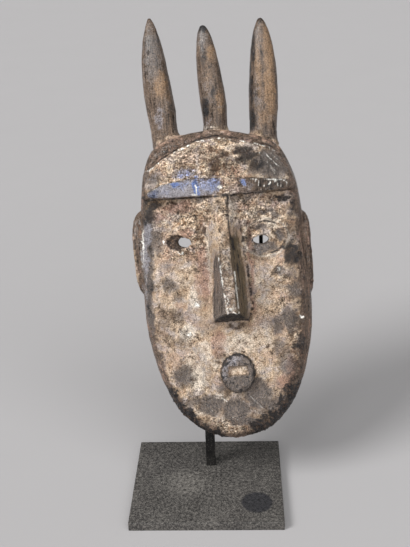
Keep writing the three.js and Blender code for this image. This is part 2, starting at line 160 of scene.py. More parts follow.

# Spots of pigment and wear, some of them painted highlights and shade, each as across, height, half width,
# half height and strength
SPOTS = {
    # Umber crust; the thin spots along the band's foot, at heights 246 to 256, and the one under the nose at
    # (8, 124) are partly painted shadow.
    "umber_and_shade": (
        (0.7, 290, 8, 9, 0.9), (8.7, 299.4, 5, 3.4, 0.9), (-3, 282.5, 8, 4, 0.7), (12.5, 289, 7, 8, 0.7),
        (-8, 294, 6, 5, 0.55), (-2, 303, 6, 4, 0.6), (-44, 253.5, 5, 1.6, 1), (-16.8, 225, 3, 4, 1),
        (4, 270, 3, 6, 0.3), (27, 227, 4, 6, 0.6), (27, 214, 3, 6, 0.6), (39.6, 222.6, 8, 2.4, 0.55),
        (8, 124, 13, 3, 0.8), (-30, 243, 14, 5, 0.4), (60, 251, 18, 4, 0.6), (40, 249, 14, 4, 0.2),
        (-8, 246, 8, 6, 0.3), (31, 224, 3, 4, 0.7), (16, 256, 6, 3, 0.6), (-20, 236, 5, 6, 0.4),
        (34, 254, 16, 3, 0.35), (-14, 118, 5, 3, 0.4), (-22, 222, 4, 8, 0.7), (-27, 207, 3, 4, 0.5),
        (68, 86, 8, 13, 0.5), (62, 104, 10, 8, 0.35), (-66, 238, 7, 5, 0.4), (30, 196, 3, 5, 0.5),
        (-22, 210, 4, 8, 0.4), (68, 88, 6, 16, 0.4), (12, 60, 4, 3, 0.4), (-50, 250, 12, 3, 0.4),
        (-34, 56, 4, 3, 0.6), (12, 44, 3, 8, 0.5), (-12, 30, 3, 6, 0.5),
    ),
    # Soot; the spots just under the band's two ends, at heights of about 243 to 257, are partly dirt and
    # partly painted shadow of the brow's overhang.
    "soot_and_shade": (
        (56, 284, 16, 9, 0.5), (44, 293, 8, 6, 0.55), (66, 112, 8, 13, 0.45), (28.4, 302, 10, 5, 1.2),
        (34, 295, 9, 6, 1.15), (25.3, 291.9, 6, 5, 1), (41, 286, 10, 6, 0.9), (-72, 244, 7, 9, 1),
        (-64, 266, 5, 4, 0.4), (-66, 252.5, 10, 5, 1.2), (-74, 257, 6, 7, 0.8), (63, 250.5, 15, 4, 0.75),
        (75, 243, 5, 7, 0.8), (70, 194.5, 9, 12, 1.25), (67, 223.8, 5, 8, 0.5), (74, 184, 4, 9, 0.5),
        (68, 98.3, 6, 4.5, 1), (74, 104, 5, 12, 0.7), (-64, 265, 8, 8, 0.6), (57, 266, 22, 9, 0.5),
        (7.5, 258, 5, 3, 0.9), (70, 120, 5, 14, 0.65), (-78, 237, 5, 5, 0.9), (-73, 206, 3, 10, 0.7),
        (-77, 170, 4, 9, 0.7), (-80, 147, 3, 8, 0.7), (62, 72, 7, 12, 0.4), (-74, 110, 4, 16, 0.4),
        (-58, 72, 4, 6, 0.3), (-4.7, 396.5, 3, 14, 0.7), (2.7, 362, 2.5, 7, 0.8), (-6.9, 346, 4.5, 11, 1),
        (45, 404, 4, 24, 0.8), (40.5, 365, 3, 34, 0.8), (39.4, 329, 4, 14, 0.9), (-3.6, 426, 6, 7, 0.9),
        (54.8, 429, 5, 4, 0.8), (-40, 346, 4, 12, 0.6), (-57, 413, 6, 14, 0.4), (7.2, 332, 5, 6, 0.5),
        (-44, 330, 5, 8, 0.4), (22, 152, 3, 16, 0.4), (-8, 140, 4, 8, 0.4),
    ),
    "grey": (
        (54.5, 288.4, 15, 12, 1), (60, 281, 15, 9, 1), (44, 280, 14, 5, 0.7), (-64, 280, 11, 7, 0.8),
        (-57.4, 171, 9, 8, 0.7), (-50, 157, 7, 5, 0.6), (-58.9, 190.8, 8, 7, 0.6),
        (-48.8, 138.4, 9, 8, 0.6), (-66, 216, 9, 14, 0.8), (-75, 222, 6, 20, 1), (-79, 190, 7, 30, 1),
        (-81, 150, 6, 30, 0.9), (55.6, 178.4, 6, 4.4, 0.8), (70.3, 156.5, 8, 9, 0.8),
        (63, 128, 9, 15, 0.95), (50, 122, 7, 10, 0.8), (50, 100, 7, 10, 0.6),
        (-50.7, 74.5, 12, 12.5, 0.85), (-56, 402, 10, 30, 0.8), (-46, 350, 6, 10, 0.5),
        (-6, 418, 7, 14, 0.7), (46, 418, 5, 22, 0.7), (-2, 360, 8, 20, 0.5), (47, 350, 5, 30, 0.5),
        (-24, 41, 12, 11, 1.3), (1, 34, 13, 13, 1.4), (25, 52, 13, 15, 1.4), (9, 22, 16, 5, 1),
        (39, 38, 10, 8, 0.9), (-42, 46, 9, 7, 0.7), (4, 36, 40, 24, 0.5), (57, 83.4, 10, 15, 0.65),
        (42, 202.4, 12, 4.8, 1.3), (58, 214.3, 5, 6.6, 1.3), (26, 211, 3, 4, 0.6), (38, 223, 7, 3, 0.9),
        (46, 238, 11, 2.2, 0.9), (56, 234, 5, 3, 0.8), (-17.7, 256, 7, 3.4, 0.7), (27, 252, 7, 4, 0.7),
        (-48, 108, 10, 9, 0.4), (-10, 58, 8, 6, 0.6), (-34, 204, 9, 5, 0.4), (68, 208, 7, 14, 0.5),
        (36, 160, 8, 8, 0.25), (30, 33, 10, 8, 0.6), (-66, 128, 8, 20, 0.5), (-42, 56, 7, 5, 0.3),
        (66, 175, 8, 8, 0.5), (-28, 190, 6, 9, 0.3), (-40, 172, 6, 6, 0.3), (68, 238, 6, 6, 0.5),
        (5, 225, 6, 5, 0.3), (-12, 96, 6, 8, 0.4), (-2, 247, 6, 10, 0.4),
    ),
    "olive": (
        (16.5, 208, 4, 18, 0.9), (17.5, 172, 4, 26, 1), (19, 146, 4, 14, 0.9), (-10, 160, 2, 20, 0.3),
        (-3, 398, 4, 16, 0.4), (18, 222, 4, 7, 0.8),
    ),
    "amber": (
        (22.5, 200, 2.6, 20, 0.8), (22.5, 165, 2.4, 26, 0.9), (22, 140, 3, 9, 0.5),
        (-50, 374.7, 7, 15, 0.9), (-46, 358, 5, 12, 0.5), (61.6, 398, 6, 26, 0.8),
        (59.7, 359, 6, 30, 0.9), (49, 378, 3.4, 34, 0.7), (5.5, 400, 6, 9, 0.9), (8.8, 352, 4, 12, 0.7),
        (52, 332, 7, 8, 0.6), (0, 376, 5, 20, 0.4), (-13, 178, 4, 40, 0.5), (-54, 398, 5, 10, 0.2),
    ),
    "rust": (
        (-13.2, 106, 7, 16, 0.8), (-20, 182, 7, 30, 1), (-26, 168, 6, 16, 0.7), (-36, 225, 6, 4, 0.9),
        (-58, 247.9, 8, 4, 0.7), (55, 62, 9, 12, 0.9), (-30, 104, 6, 5, 0.3), (-55, 100, 9, 9, 0.35),
        (-66, 138, 8, 16, 0.35), (-40, 249, 18, 6, 0.9), (-62, 240, 8, 5, 0.8), (24, 246, 12, 6, 0.6),
        (-20, 300, 20, 8, 0.5), (18, 276, 8, 12, 0.6), (62, 140, 5, 5, 0.5), (30, 130, 10, 6, 0.2),
        (-31, 198, 9, 6, 0.6), (36, 184, 12, 8, 0.25), (55.4, 408.6, 1.6, 14, 0.9),
        (57.5, 385, 1.4, 18, 0.6), (-70, 96, 6, 12, 0.4), (54, 110, 8, 10, 0.3), (-9, 112, 7, 9, 0.9),
        (27.5, 205, 2.8, 26, 1), (28, 165, 2.8, 30, 1), (64, 74, 8, 16, 1), (-33, 222, 8, 4, 0.8),
        (60, 150, 7, 6, 0.5), (34, 232, 8, 5, 0.5), (-6, 350, 5, 20, 0.3),
    ),
    # Pale patches; the spot at the left horn's foot at (-53.5, 335) and the line down its left edge at (-67,
    # 394) are painted highlights.
    "pale_and_highlights": (
        (-36, 73, 10, 18, 0.9), (-41, 92, 7, 10, 0.6), (-28, 101, 7, 14, 0.7), (-42, 120, 11, 9, 0.9),
        (-32.5, 154, 4.5, 11, 1), (-15, 49, 8, 5, 0.9), (33, 170, 6, 12, 0.6), (-30, 163, 7, 8, 0.4),
        (10, 106, 22, 10, 0.7), (34, 112, 12, 18, 0.5), (31, 307, 16, 4, 0.6), (-14, 205, 3.6, 40, 0.6),
        (-58, 148, 8, 7, 0.3), (-40, 182, 9, 14, 0.4), (52, 227, 9, 5, 0.8), (48, 213, 8, 5, 0.5),
        (30, 212, 5, 6, 0.3), (-54, 274.6, 9, 1.6, 0.7), (56, 272, 16, 1.8, 0.8), (-62, 427, 3, 5, 0.9),
        (-53.5, 335, 2.6, 12, 0.4), (-67, 394, 1.6, 30, 0.5), (-16, 84, 5, 9, 0.6), (-11, 26, 4, 9, 0.6),
        (14, 33, 4, 7, 0.5), (-38, 34, 6, 4, 0.6), (30, 77, 5, 14, 0.5), (-36, 298, 16, 7, 0.4),
        (40, 150, 9, 16, 0.4), (-46, 205, 9, 3, 0.4), (2, 322, 14, 4, 0.7), (-2, 328, 12, 4, 0.6),
        (20, 90, 6, 6, 0.4), (24, 268, 3, 6, 0.5), (15, 243, 5, 14, 0.7), (42, 237, 18, 7, 0.5),
        (-22, 300, 24, 8, 0.45), (22.5, 190, 2, 40, 0.4), (-60, 236, 10, 5, 0.3), (60, 230, 6, 6, 0.4),
    ),
    "blue": (
        (-19.5, 269.5, 5, 10, 1), (-6, 270, 13, 9, 0.65), (-40.5, 273.4, 5, 2.6, 0.95),
        (26.6, 269, 4, 6, 0.9), (-32, 282.4, 10, 4, 0.6), (-25, 286, 6, 3, 0.55), (-52, 267, 9, 4, 0.4),
        (-34, 272, 9, 5, 0.6), (-65, 266, 6, 5, 0.7),
    ),
    # Greyed blue paint on the band; the strips down the left rim at (-76, 226), (-80, 200) and (-83, 160)
    # and the spot at the left horn's foot at (-54, 340) are painted sheen.
    "slate_and_sheen": (
        (-40, 268, 34, 9, 1), (-8, 268, 12, 9, 0.8), (30, 268, 6, 7, 0.5), (-30, 284, 12, 5, 0.6),
        (-64, 282, 8, 5, 0.4), (-76, 226, 5, 14, 0.8), (-80, 200, 5, 22, 0.7), (-83, 160, 3, 20, 0.5),
        (36, 202, 6, 3, 0.3), (-68, 252, 6, 4, 0.3), (70, 196, 4, 6, 0.3), (-54, 340, 4, 14, 0.5),
        (-6, 336, 4, 8, 0.4),
    ),
    # White chips, and painted highlights: the glint in the blue at (-19.3, 267), the lit edges below and
    # left of the left eye's hole at (-43, 203.4) and (-58.4, 214), the streak down the left rim at (-81,
    # 218), and the glints along the nose's ridge at heights 149 to 183, which are partly worn edges.
    "chips_and_highlights": (
        (2.6, 266.6, 2, 2.6, 1), (-19.3, 267, 1.3, 6, 1), (-58.4, 214, 0.9, 3.4, 0.8),
        (-43, 203.4, 3.6, 1.0, 0.9), (74.5, 128, 2, 2.4, 1), (51, 268, 0.9, 3, 0.8), (61, 265, 1, 3, 0.8),
        (57, 270, 1.4, 1.6, 0.8), (70, 264, 1.2, 3, 0.8), (-22, 262, 3, 1.4, 0.9),
        (55.6, 179, 2.4, 1.6, 0.7), (-66, 290, 4, 1.6, 0.7), (-31, 149, 2, 2.4, 0.9),
        (2, 157, 0.9, 6, 0.9), (7, 149, 3, 1.6, 0.8), (-1, 183, 0.7, 16, 0.5), (12.6, 160, 0.6, 16, 0.6),
        (-42, 118, 3, 3, 0.8), (66, 302, 1.4, 5, 0.5), (-81, 218, 1.3, 15, 0.9),
    ),
}

# How wide the edge of a kind's spots is, as a share of their size, and the usual width
SPOT_EDGES = {"umber_and_shade": 0.65, "soot_and_shade": 0.7, "grey": 0.6}
SPOT_EDGE = 0.45

# Where the crust is thick and broken, in the same form as the spots
RUGGED = (
    (-14, 296, 48, 22, 0.9), (10, 288, 18, 20, 1), (-30, 242, 34, 15, 0.8), (34, 244, 32, 13, 0.8),
    (12, 267, 12, 9, 0.8), (-28, 214, 14, 16, 0.9), (-62, 232, 12, 12, 0.6), (30, 222, 8, 20, 0.8),
    (-2, 18, 24, 9, 0.8), (-50, 205, 14, 8, 0.6), (60, 224, 10, 12, 0.5), (66, 100, 8, 30, 0.6),
    (60, 160, 12, 30, 0.35), (45, 212, 18, 16, 0.2), (28, 304, 20, 6, 0.7), (-40, 52, 14, 10, 0.4),
    (-3, 328, 20, 8, 0.8),
)

# The dark wooden rim outside the pigment, as angle round the face from the crown and width
RIM_WIDTH = (
    (-180, 7), (-150, 8), (-120, 7), (-90, 5), (-60, 5), (-20, 4), (20, 5), (60, 8), (90, 10),
    (120, 10), (150, 11), (180, 7),
)

# The mask mesh's colour attributes, and the layers that each keeps; the dark soot and umber layers carry
# painted shade as well, and the white, slate and pale layers painted highlights and sheen
FIELDS = {
    "pigment": ("crust", "rust", "pale_and_highlights", "blue"),
    "patina": ("soot_and_shade", "grey", "umber_and_shade", "chips_and_highlights"),
    "wear": ("polish", "horn", "hollow", "front"),
    "ground": ("crevice", "rugged", "slate_and_sheen", "amber"),
    "grease": ("olive",),
}

# Triangles' corners nearer than this, in millimetres, are merged
MERGING = 0.005

# Edges of the carving that turn more than this are creases, which smoothing spares
CREASE = math.radians(34)
SMOOTHING_ROUNDS = 24

# The stand: faces that turn less are merged, and edges that turn more are rounded or shaded sharp
FLAT_ANGLE = math.radians(0.5)
BEVEL_ANGLE = math.radians(40)
SHADE_ANGLE = math.radians(32)
EDGE_STEPS = 3

# Shares of the thinning that the horns and the back get
HORN_THINNING = 0.35
BACK_THINNING = 1.0

# The stain and the pale marks on the plate's top, in millimetres, and the stain's colour
STAIN = (52.5, -38.5, 10.0)
STAIN_TONE = (0.018, 0.018, 0.022)
MARKS = (-22.0, -6.0, 10.0)

# Where the two suns stand and how wide they are in degrees, and the colour of the light all round
KEY_FROM = (-0.8, -0.55, 0.82)
KEY_SPREAD = 25
FILL_FROM = (0.3, -0.9, 0.9)
FILL_SPREAD = 70
SKY_TONE = (0.96, 0.98, 1.0)

# Half the floor's width in metres, and the camera's sensor in millimetres
FLOOR_SIZE = 20
SENSOR_HEIGHT = 36

CARVED_WOOD = "carved_wood"
PLATE_STEEL = "plate_steel"
BLACK_STEEL = "blackened_steel"


def length(name, description, millimetres):
    """A length property."""
    return FloatProperty(
        name=name, description=description, default=millimetres * MM, subtype="DISTANCE", unit="LENGTH",
    )


def angle(name, description, degrees):
    """An angle property."""
    return FloatProperty(
        name=name, description=description, default=math.radians(degrees), subtype="ANGLE", unit="ROTATION",
    )


def strength(name, description, default):
    """A light's strength as a property."""
    return FloatProperty(name=name, description=description, default=default, min=0)


def tone(name, description, *default):
    """A colour property."""
    return FloatVectorProperty(
        name=name, description=description, default=default, min=0, max=1, subtype="COLOR",
    )


class MaskSettings(bpy.types.PropertyGroup):
    """Sizes of the mask's carved and crusted surface."""

    voxel: length("Voxel", "Size of the faces on the mask's front", 1.16)
    kept: FloatProperty(
        name="Faces Kept", description="Share of the faces kept after thinning the back", default=0.44,
        min=0.1, max=1, subtype="FACTOR",
    )
    hand_cut: length("Hand Cut", "How uneven the carved surface is", 0.35)
    gouge: length("Gouge Marks", "Depth of the gouge marks in the hollow", 0.8)
    crust: length("Crust", "Thickness of the pigment crust", 0.7)


class PaintSettings(bpy.types.PropertyGroup):
    """Colours of the mask's wood and pigments; some also paint highlights and shade."""

    dark_wood: tone("Dark Wood", "Wood in the grain's dark lines", 0.028, 0.019, 0.014)
    brown_wood: tone("Brown Wood", "Polished wood of the rim and horns", 0.14, 0.098, 0.072)
    light_wood: tone("Light Wood", "Worn wood between the dark lines", 0.25, 0.178, 0.13)
    amber: tone("Amber", "Rubbed warm patches on the horns and nose", 0.38, 0.235, 0.13)
    tan: tone("Tan", "Pigment crust", 0.5, 0.375, 0.265)
    cream: tone("Cream", "Light grains in the crust", 0.78, 0.63, 0.47)
    brown: tone("Brown", "Dark grains in the crust", 0.15, 0.08, 0.043)
    # Umber also paints shade under the brow band, under the nose and in the left eye's scoop.
    umber_and_shade: tone("Umber", "Thick dark crust", 0.045, 0.0235, 0.0135)
    # Soot also paints shade: on the horns' sides, the nose's underside and the line under the brow band.
    soot_and_shade: tone("Soot", "Black patina", 0.014, 0.0135, 0.015)
    grey: tone("Grey", "Rubbed grey patches", 0.2, 0.18, 0.175)
    olive: tone("Olive", "Greasy olive patina beside the nose", 0.125, 0.093, 0.048)
    rust: tone("Rust", "Reddish patches", 0.34, 0.2, 0.15)
    # Pale also paints highlights on the mouth, the nose's ridge and the left horn.
    pale_and_highlights: tone("Pale", "Whitish patches", 0.74, 0.66, 0.56)
    blue: tone("Blue", "Blue paint", 0.16, 0.24, 0.52)
    # Slate also paints the sheen down the left rim, on the mouth's upper left and at the left horn's foot.
    slate_and_sheen: tone("Slate", "Greyed blue paint", 0.4, 0.385, 0.42)
    # White also paints glints on the forehead's right, the left rim, the nose's ridge, the blue paint and
    # the left eye's edge.
    chips_and_highlights: tone("White", "White chips", 0.9, 0.87, 0.8)


class StandSettings(bpy.types.PropertyGroup):
    """Finish of the steel stand."""

    plate_edge: length("Plate Edge", "Rounding of the plate's edges", 0.8)
    bar_edge: length("Bar Edge", "Rounding of the bars' edges", 0.5)
    plate_colour: tone("Plate", "Blackened plate", 0.034, 0.031, 0.029)
    bar_colour: tone("Bars", "Blackened bars", 0.005, 0.0047, 0.005)
    dust: tone("Dust", "Dust on the steel", 0.2, 0.185, 0.165)


class StageSettings(bpy.types.PropertyGroup):
    """Floor, light and camera."""

    eye: FloatVectorProperty(
        name="Eye", description="Where the camera stands", subtype="TRANSLATION", unit="LENGTH",
        default=(0.03873, -0.76005, 0.60411),
    )
    pitch: angle("Pitch", "How far the camera looks down", 24.52)
    yaw: angle("Yaw", "How far the camera turns to the left", 2.56)
    roll: angle("Roll", "How far the camera leans", -2.04)
    lens: FloatProperty(
        name="Lens", description="Focal length over a 36 mm high sensor", default=56.6,
        subtype="DISTANCE_CAMERA",
    )
    key: strength("Key Light", "Strength of the key light", 2.5)
    fill: strength("Fill Light", "Strength of the soft front light", 1.95)
    sky: strength("Sky", "Strength of the light all round", 0.2)
    floor_colour: tone("Floor", "Pale floor", 0.46, 0.448, 0.45)


def smoothstep(value, low, high):
    """0 below low and 1 above high, with a smooth rise between them."""
    share = np.clip((value - low) / (high - low), 0, 1)
    return share * share * (3 - 2 * share)


def lumps(place, size, seed, octaves=2):
    """Smooth noise of about -1 to 1 in lumps of a size in millimetres."""
    moved = place / size + 13.7 * seed
    return np.array([noise.fractal(point, 0.7, 2.1, octaves) for point in moved.tolist()])


def scoops(place, size, seed):
    """Shallow scoops side by side: 0 in the middle of each, 1 on the ridges between them."""
    moved = place / size + 7.3 * seed
    near = np.array([noise.voronoi(point)[0][:2] for point in moved.tolist()])
    return np.clip(near[:, 0] / (near[:, 1] + 1e-6), 0, 1) ** 2


def in_mask(points):
    """World points as places in the mask's frame, in millimetres."""
    return (points - np.array(CHIN)) @ np.array(MASK_TURN) / MM


def oval(place, middle, size):
    """How far out a place lies in an oval: 0 at its middle and 1 on its edge."""
    return np.hypot((place[:, 0] - middle[0]) / size[0], (place[:, 2] - middle[1]) / size[1])


def line_distance(place, line):
    """Distance on the face from each place to a line of points."""
    across, height = place[:, 0], place[:, 2]
    nearest = np.full(len(place), np.inf)
    for (a, b), (c, d) in zip(line, line[1:]):
        along = ((across - a) * (c - a) + (height - b) * (d - b)) / ((c - a) ** 2 + (d - b) ** 2)
        along = np.clip(along, 0, 1)
        beside = np.hypot(across - a - along * (c - a), height - b - along * (d - b))
        nearest = np.minimum(nearest, beside)
    return nearest


def on_line(line, value):
    """The second number of a line's points where the first is a value."""
    return np.interp(value, *np.transpose(line))


def crown_height(across):
    """The height of the head's crown at a place across."""
    return on_line(CROWN, np.abs(across)) - CROWN_SLOPE * across


def outline_points(step=1.0):
    """Points round the head's outline, as across and height."""
    points = []
    for height in np.arange(HEAD_OUTLINE[0][0], HEAD_OUTLINE[-1][0], step):
        width = on_line(HEAD_OUTLINE, height)
        for across in (-width, width):
            points.append((across, height - CROWN_SLOPE * across * smoothstep(height, *SLANT)))
    return points


def nearest_distance(places, points):
    """Distance from each place to the nearest of some points."""
    tree = kdtree.KDTree(len(points))
    for i, point in enumerate(points):
        tree.insert(point, i)
    tree.balance()
    return np.array([tree.find(place)[2] for place in places])


def edge_distance(place):
    """How far inside the head's outline each place lies."""
    flat = [(across, height, 0) for across, _, height in place.tolist()]
    return nearest_distance(flat, [(across, height, 0) for across, height in outline_points()])


def new_piece(name, mesh, slot, *nodes):
    """A piece of the object that rides on the frame and stands for CAD nodes."""
    piece = bpy.data.objects.new(name, mesh)
    bpy.context.scene.collection.objects.link(piece)
    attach(piece, "root")
    if nodes:
        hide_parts(*nodes)
    return piece


def merged_copy(node):
    """A bmesh of a CAD node with its loose triangles merged."""
    bm = bmesh.new()
    bm.from_mesh(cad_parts[node].data)
    bmesh.ops.remove_doubles(bm, verts=bm.verts, dist=MERGING * MM)
    return bm


def finished_mesh(bm, name):
    """A smooth-shaded mesh from a bmesh, which is freed."""
    mesh = bpy.data.meshes.new(name)
    bm.to_mesh(mesh)
    bm.free()
    mesh.shade_smooth()
    return mesh


def apply_modifiers(piece):
    """Puts a piece's modifiers into its mesh."""
    graph = bpy.context.evaluated_depsgraph_get()
    mesh = bpy.data.meshes.new_from_object(piece.evaluated_get(graph), depsgraph=graph)
    piece.modifiers.clear()
    piece.data = mesh


def coordinates(mesh):
    """A mesh's vertex places and normals as arrays."""
    points = np.empty(len(mesh.vertices) * 3, np.float32)
    mesh.vertices.foreach_get("co", points)
    normals = np.empty(len(mesh.vertices) * 3, np.float32)
    mesh.vertex_normals.foreach_get("vector", normals)
    return points.reshape(-1, 3).astype(float), normals.reshape(-1, 3).astype(float)


def move_vertices(mesh, points):
    """Puts a mesh's vertices at new places."""
    mesh.vertices.foreach_set("co", points.astype(np.float32).ravel())
    mesh.update()


def crease_distance(bm, points):
    """Distance from each point to the nearest sharp crease of a bmesh."""
    places = []
    for edge in bm.edges:
        if edge.is_manifold and edge.calc_face_angle(0) > CREASE:
            a, b = (vert.co for vert in edge.verts)
            steps = max(1, int((b - a).length / MM))
            places += [a.lerp(b, i / steps) for i in range(steps + 1)]
    return nearest_distance(points.tolist(), places)


def without_facets(mesh, keep, rounds):
    """Smooths a mesh's facets away, less where keep is 0, without shrinking it."""
    points, _ = coordinates(mesh)
    edges = np.empty(len(mesh.edges) * 2, np.int32)
    mesh.edges.foreach_get("vertices", edges)
    a, b = edges.reshape(-1, 2).T
    count = np.bincount(edges, minlength=len(points))[:, None]
    shrinking, growing = 0.6, -0.62
    for step in range(2 * rounds):
        around = np.stack([
            np.bincount(a, points[b, axis], len(points)) + np.bincount(b, points[a, axis], len(points))
            for axis in range(3)
        ], 1) / count
        pull = growing if step % 2 else shrinking
        points = points + pull * keep[:, None] * (around - points)
    move_vertices(mesh, points)


def bell(value, width):
    """1 where a value is 0, fading to nothing a few widths away on both sides."""
    return np.exp(-((value / width) ** 2))


class MaskPlaces:
    """The mask's vertices in its own frame, and the zones of its surface."""

    def __init__(self, mesh):
        points, normals = coordinates(mesh)
        self.place = in_mask(points)
        self.facing = normals @ np.array(MASK_TURN)
        self.across, self.depth, self.height = self.place.T
        self.edge = edge_distance(self.place)
        above_crown = self.height - crown_height(self.across)
        self.horn = smoothstep(above_crown, 0.5, 3) * smoothstep(self.height, HORN_FOOT, HORN_FOOT + 5)
        outward = (
            self.across * self.facing[:, 0] / HEAD_HALF_WIDTH
            + (self.height - HEAD_MIDDLE) * self.facing[:, 2] / HEAD_MIDDLE
        )
        behind, within = (smoothstep(far, WALL, WALL + 6) for far in (self.depth, self.edge))
        self.hollow = behind * np.maximum(within, smoothstep(-outward, 0, 0.2)) * (1 - self.horn)
        self.grit = self.noise(3.2, 11) + 0.5 * self.noise(1.6, 12, 1)
        self.broad = self.noise(16, 13)
        self.rough = self.noise(5, 34, 3)
        self.streaks = self.noise(2.6, 61, 2, (1, 1, 0.12))
        self.strokes = self.noise(1.6, 62, 1, (1, 1, 0.2))
        inner = smoothstep(self.edge, 18, 25) * smoothstep(-self.facing[:, 1], -0.1, 0.1)
        turned = 0.15 * self.grit + 0.2 * self.broad - self.facing[:, 1]
        self.front = np.maximum(smoothstep(turned, 0.2, 0.75), inner) * (1 - self.hollow) * (1 - self.horn)
        self.shown = np.maximum(self.front, self.horn * smoothstep(-self.facing[:, 1], -0.2, 0.3))
        self.ragged = self.wobbled()
        beside = np.min([np.abs(self.across - horn) for horn in HORNS], axis=0)
        self.collar = bell(above_crown - 1 - 3 * self.rough, 5) * smoothstep(17 - beside, 0, 5)
        self.face = face_zone(self)
        self.band = band_zone(self)
        self.nose = nose_zone(self)

    def noise(self, size, seed, octaves=2, stretch=(1, 1, 1)):
        """Lumps of the mask's surface, drawn out along its own axes."""
        return lumps(self.place * np.array(stretch), size, seed, octaves)

    def wobbled(self):
        """Places moved about a little, so that painted shapes get ragged edges."""
        shift = np.zeros_like(self.place)
        for axis in (0, 2):
            shift[:, axis] = 3.2 * self.noise(10, axis + 1) + 1.3 * self.noise(2.8, axis + 5, 1)
        shift *= np.where(self.horn > 0.5, 0.5, 1)[:, None]
        return self.place + shift

    def spots(self, spots, soft):
        """Spots from 0 to 1, with an edge as wide as soft on either side."""
        amount = np.zeros(len(self.place))
        for across, height, wide, tall, strength in spots:
            far = oval(self.ragged, (across, height), (wide, tall))
            amount = np.maximum(amount, strength * (1 - smoothstep(far, 1 - soft, 1 + soft)))
        return amount * self.shown

    def along(self, line, width):
        """1 on a line of the mask's front, fading to 0 a few widths beside it."""
        return bell(line_distance(self.place, line), width) * self.front


def face_zone(at):
    """Where the face carries pigment: inside the dark rim, and below the groove."""
    round_face = np.degrees(np.arctan2(at.across, at.height - HEAD_MIDDLE))
    rim = on_line(RIM_WIDTH, round_face)
    inside = smoothstep(at.edge + 2.2 * at.grit + 3.5 * at.broad + 2 * at.rough, rim - 3, rim + 5)
    return inside * smoothstep(on_line(GROOVE, at.across) - at.height, 0.4, 2) * at.front


def band_zone(at):
    """The painted brow band."""
    return (
        smoothstep(at.height, BAND_FOOT - 0.6, BAND_FOOT + 0.4)
        * smoothstep(on_line(BAND_TOP, at.across) - at.height, -0.8, 0.6)
        * smoothstep(BAND_HALF_WIDTH - np.abs(at.across - BAND_MIDDLE), 0, 2)
        * at.front
    )


def nose_zone(at):
    """The raised nose: 1 on its planes and 0 on the face beside it."""
    tall = smoothstep(at.height, NOSE_FOOT - 6, NOSE_FOOT - 1) * smoothstep(NOSE_TOP + 2 - at.height, 0, 3)
    beside = np.abs(at.across - on_line(NOSE_MIDDLE, at.height))
    return tall * smoothstep(NOSE_HALF_WIDTH - beside, 0, 4) * smoothstep(-2 - at.depth, 0, 5)


def nose_parts(at):
    """The nose's ridge, sides, underside and seams."""
    right = at.nose * smoothstep(at.facing[:, 0], 0.25, 0.5)
    dark = smoothstep(on_line(LEFT_PATINA, at.height) - at.depth, -2, 3)
    left = at.nose * smoothstep(-at.facing[:, 0], 0.2, 0.45) * dark * smoothstep(212 - at.height, 0, 20)
    raised = NOSE_RAISED - at.depth
    ridge = at.nose * smoothstep(-at.facing[:, 1], 0.88, 0.95) * smoothstep(raised, 0, 4)
    wavy = bell(line_distance(0.5 * at.place + 0.5 * at.ragged, NOSE_SEAM), 1.9) * at.front
    return SimpleNamespace(
        ridge=ridge,
        worn_and_highlit_ridge=ridge * smoothstep(225 - at.height, 0, 40),
        left=left,
        right=right,
        greasy=right * smoothstep(224 - at.height, 0, 12) * smoothstep(raised, -2, 4),
        right_foot=right * smoothstep(228 - at.height, 0, 14) * smoothstep(-raised, -1, 3),
        shaded_underside=at.nose * smoothstep(-at.facing[:, 2], 0.3, 0.6),
        seam=wavy * smoothstep(at.grit, -0.7, 0.1),
        cut=at.along(NOSE_CUT, 1.0),
    )


def mouth_parts(at):
    """The mouth's disc, the slot in it, the disc's upper left that gets a painted highlight, and its edge.
    """
    far = oval(at.place, MOUTH, MOUTH_SIZE)
    disc = (1 - smoothstep(far, 0.98, 1.06)) * at.front
    slot = (
        smoothstep(MOUTH_SLOT_SIZE[0] + 1.5 + at.grit - np.abs(at.across - MOUTH_SLOT[0]), 0, 3)
        * smoothstep(MOUTH_SLOT_SIZE[1] + 1.0 + at.grit - np.abs(at.height - MOUTH_SLOT[1]), 0, 2.5)
    )
    return SimpleNamespace(
        disc=disc,
        slot=slot,
        flat=disc * (1 - slot),
        painted_highlight=disc * smoothstep(at.height - at.across - MOUTH[1] + MOUTH[0], 0, 16),
        edge=bell((far - 1) * RING_SPAN, 1.8) * at.front,
    )


def rim_parts(at):
    """The bare wood round the face, its darkened inner edge, and the sooty edge of the chin."""
    # The darkening near the face's edge is partly dark patina and partly painted shade: it grows stronger
    # towards the right side, away from the light.
    side = smoothstep(at.across, -30, 60)
    worn = smoothstep(17 + 7 * side + 5 * at.broad - at.edge, 0, 15) * at.front * (0.3 + 0.25 * side)
    chin_width = 15 + 6 * smoothstep(at.across, -20, 20) + 5 * at.broad + 2 * at.grit
    chin = smoothstep(74 - at.height, 0, 24) * smoothstep(chin_width - at.edge, 0, 9) * (1 - at.hollow)
    bare = (1 - at.face) * (1 - at.band) * (1 - at.hollow) * (1 - at.horn)
    return SimpleNamespace(
        worn=worn * smoothstep(256 - at.height, 0, 10),
        chin=chin * smoothstep(oval(at.place, *CHIN_PATCH), 0.8, 1.2),
        bare=bare * smoothstep(-at.facing[:, 1], 0.05, 0.4),
    )


def lay(layers, kind, *amounts):
    """Lays amounts of a pigment or wear over what is there already."""
    layers[kind] = np.maximum.reduce([layers[kind], *amounts])


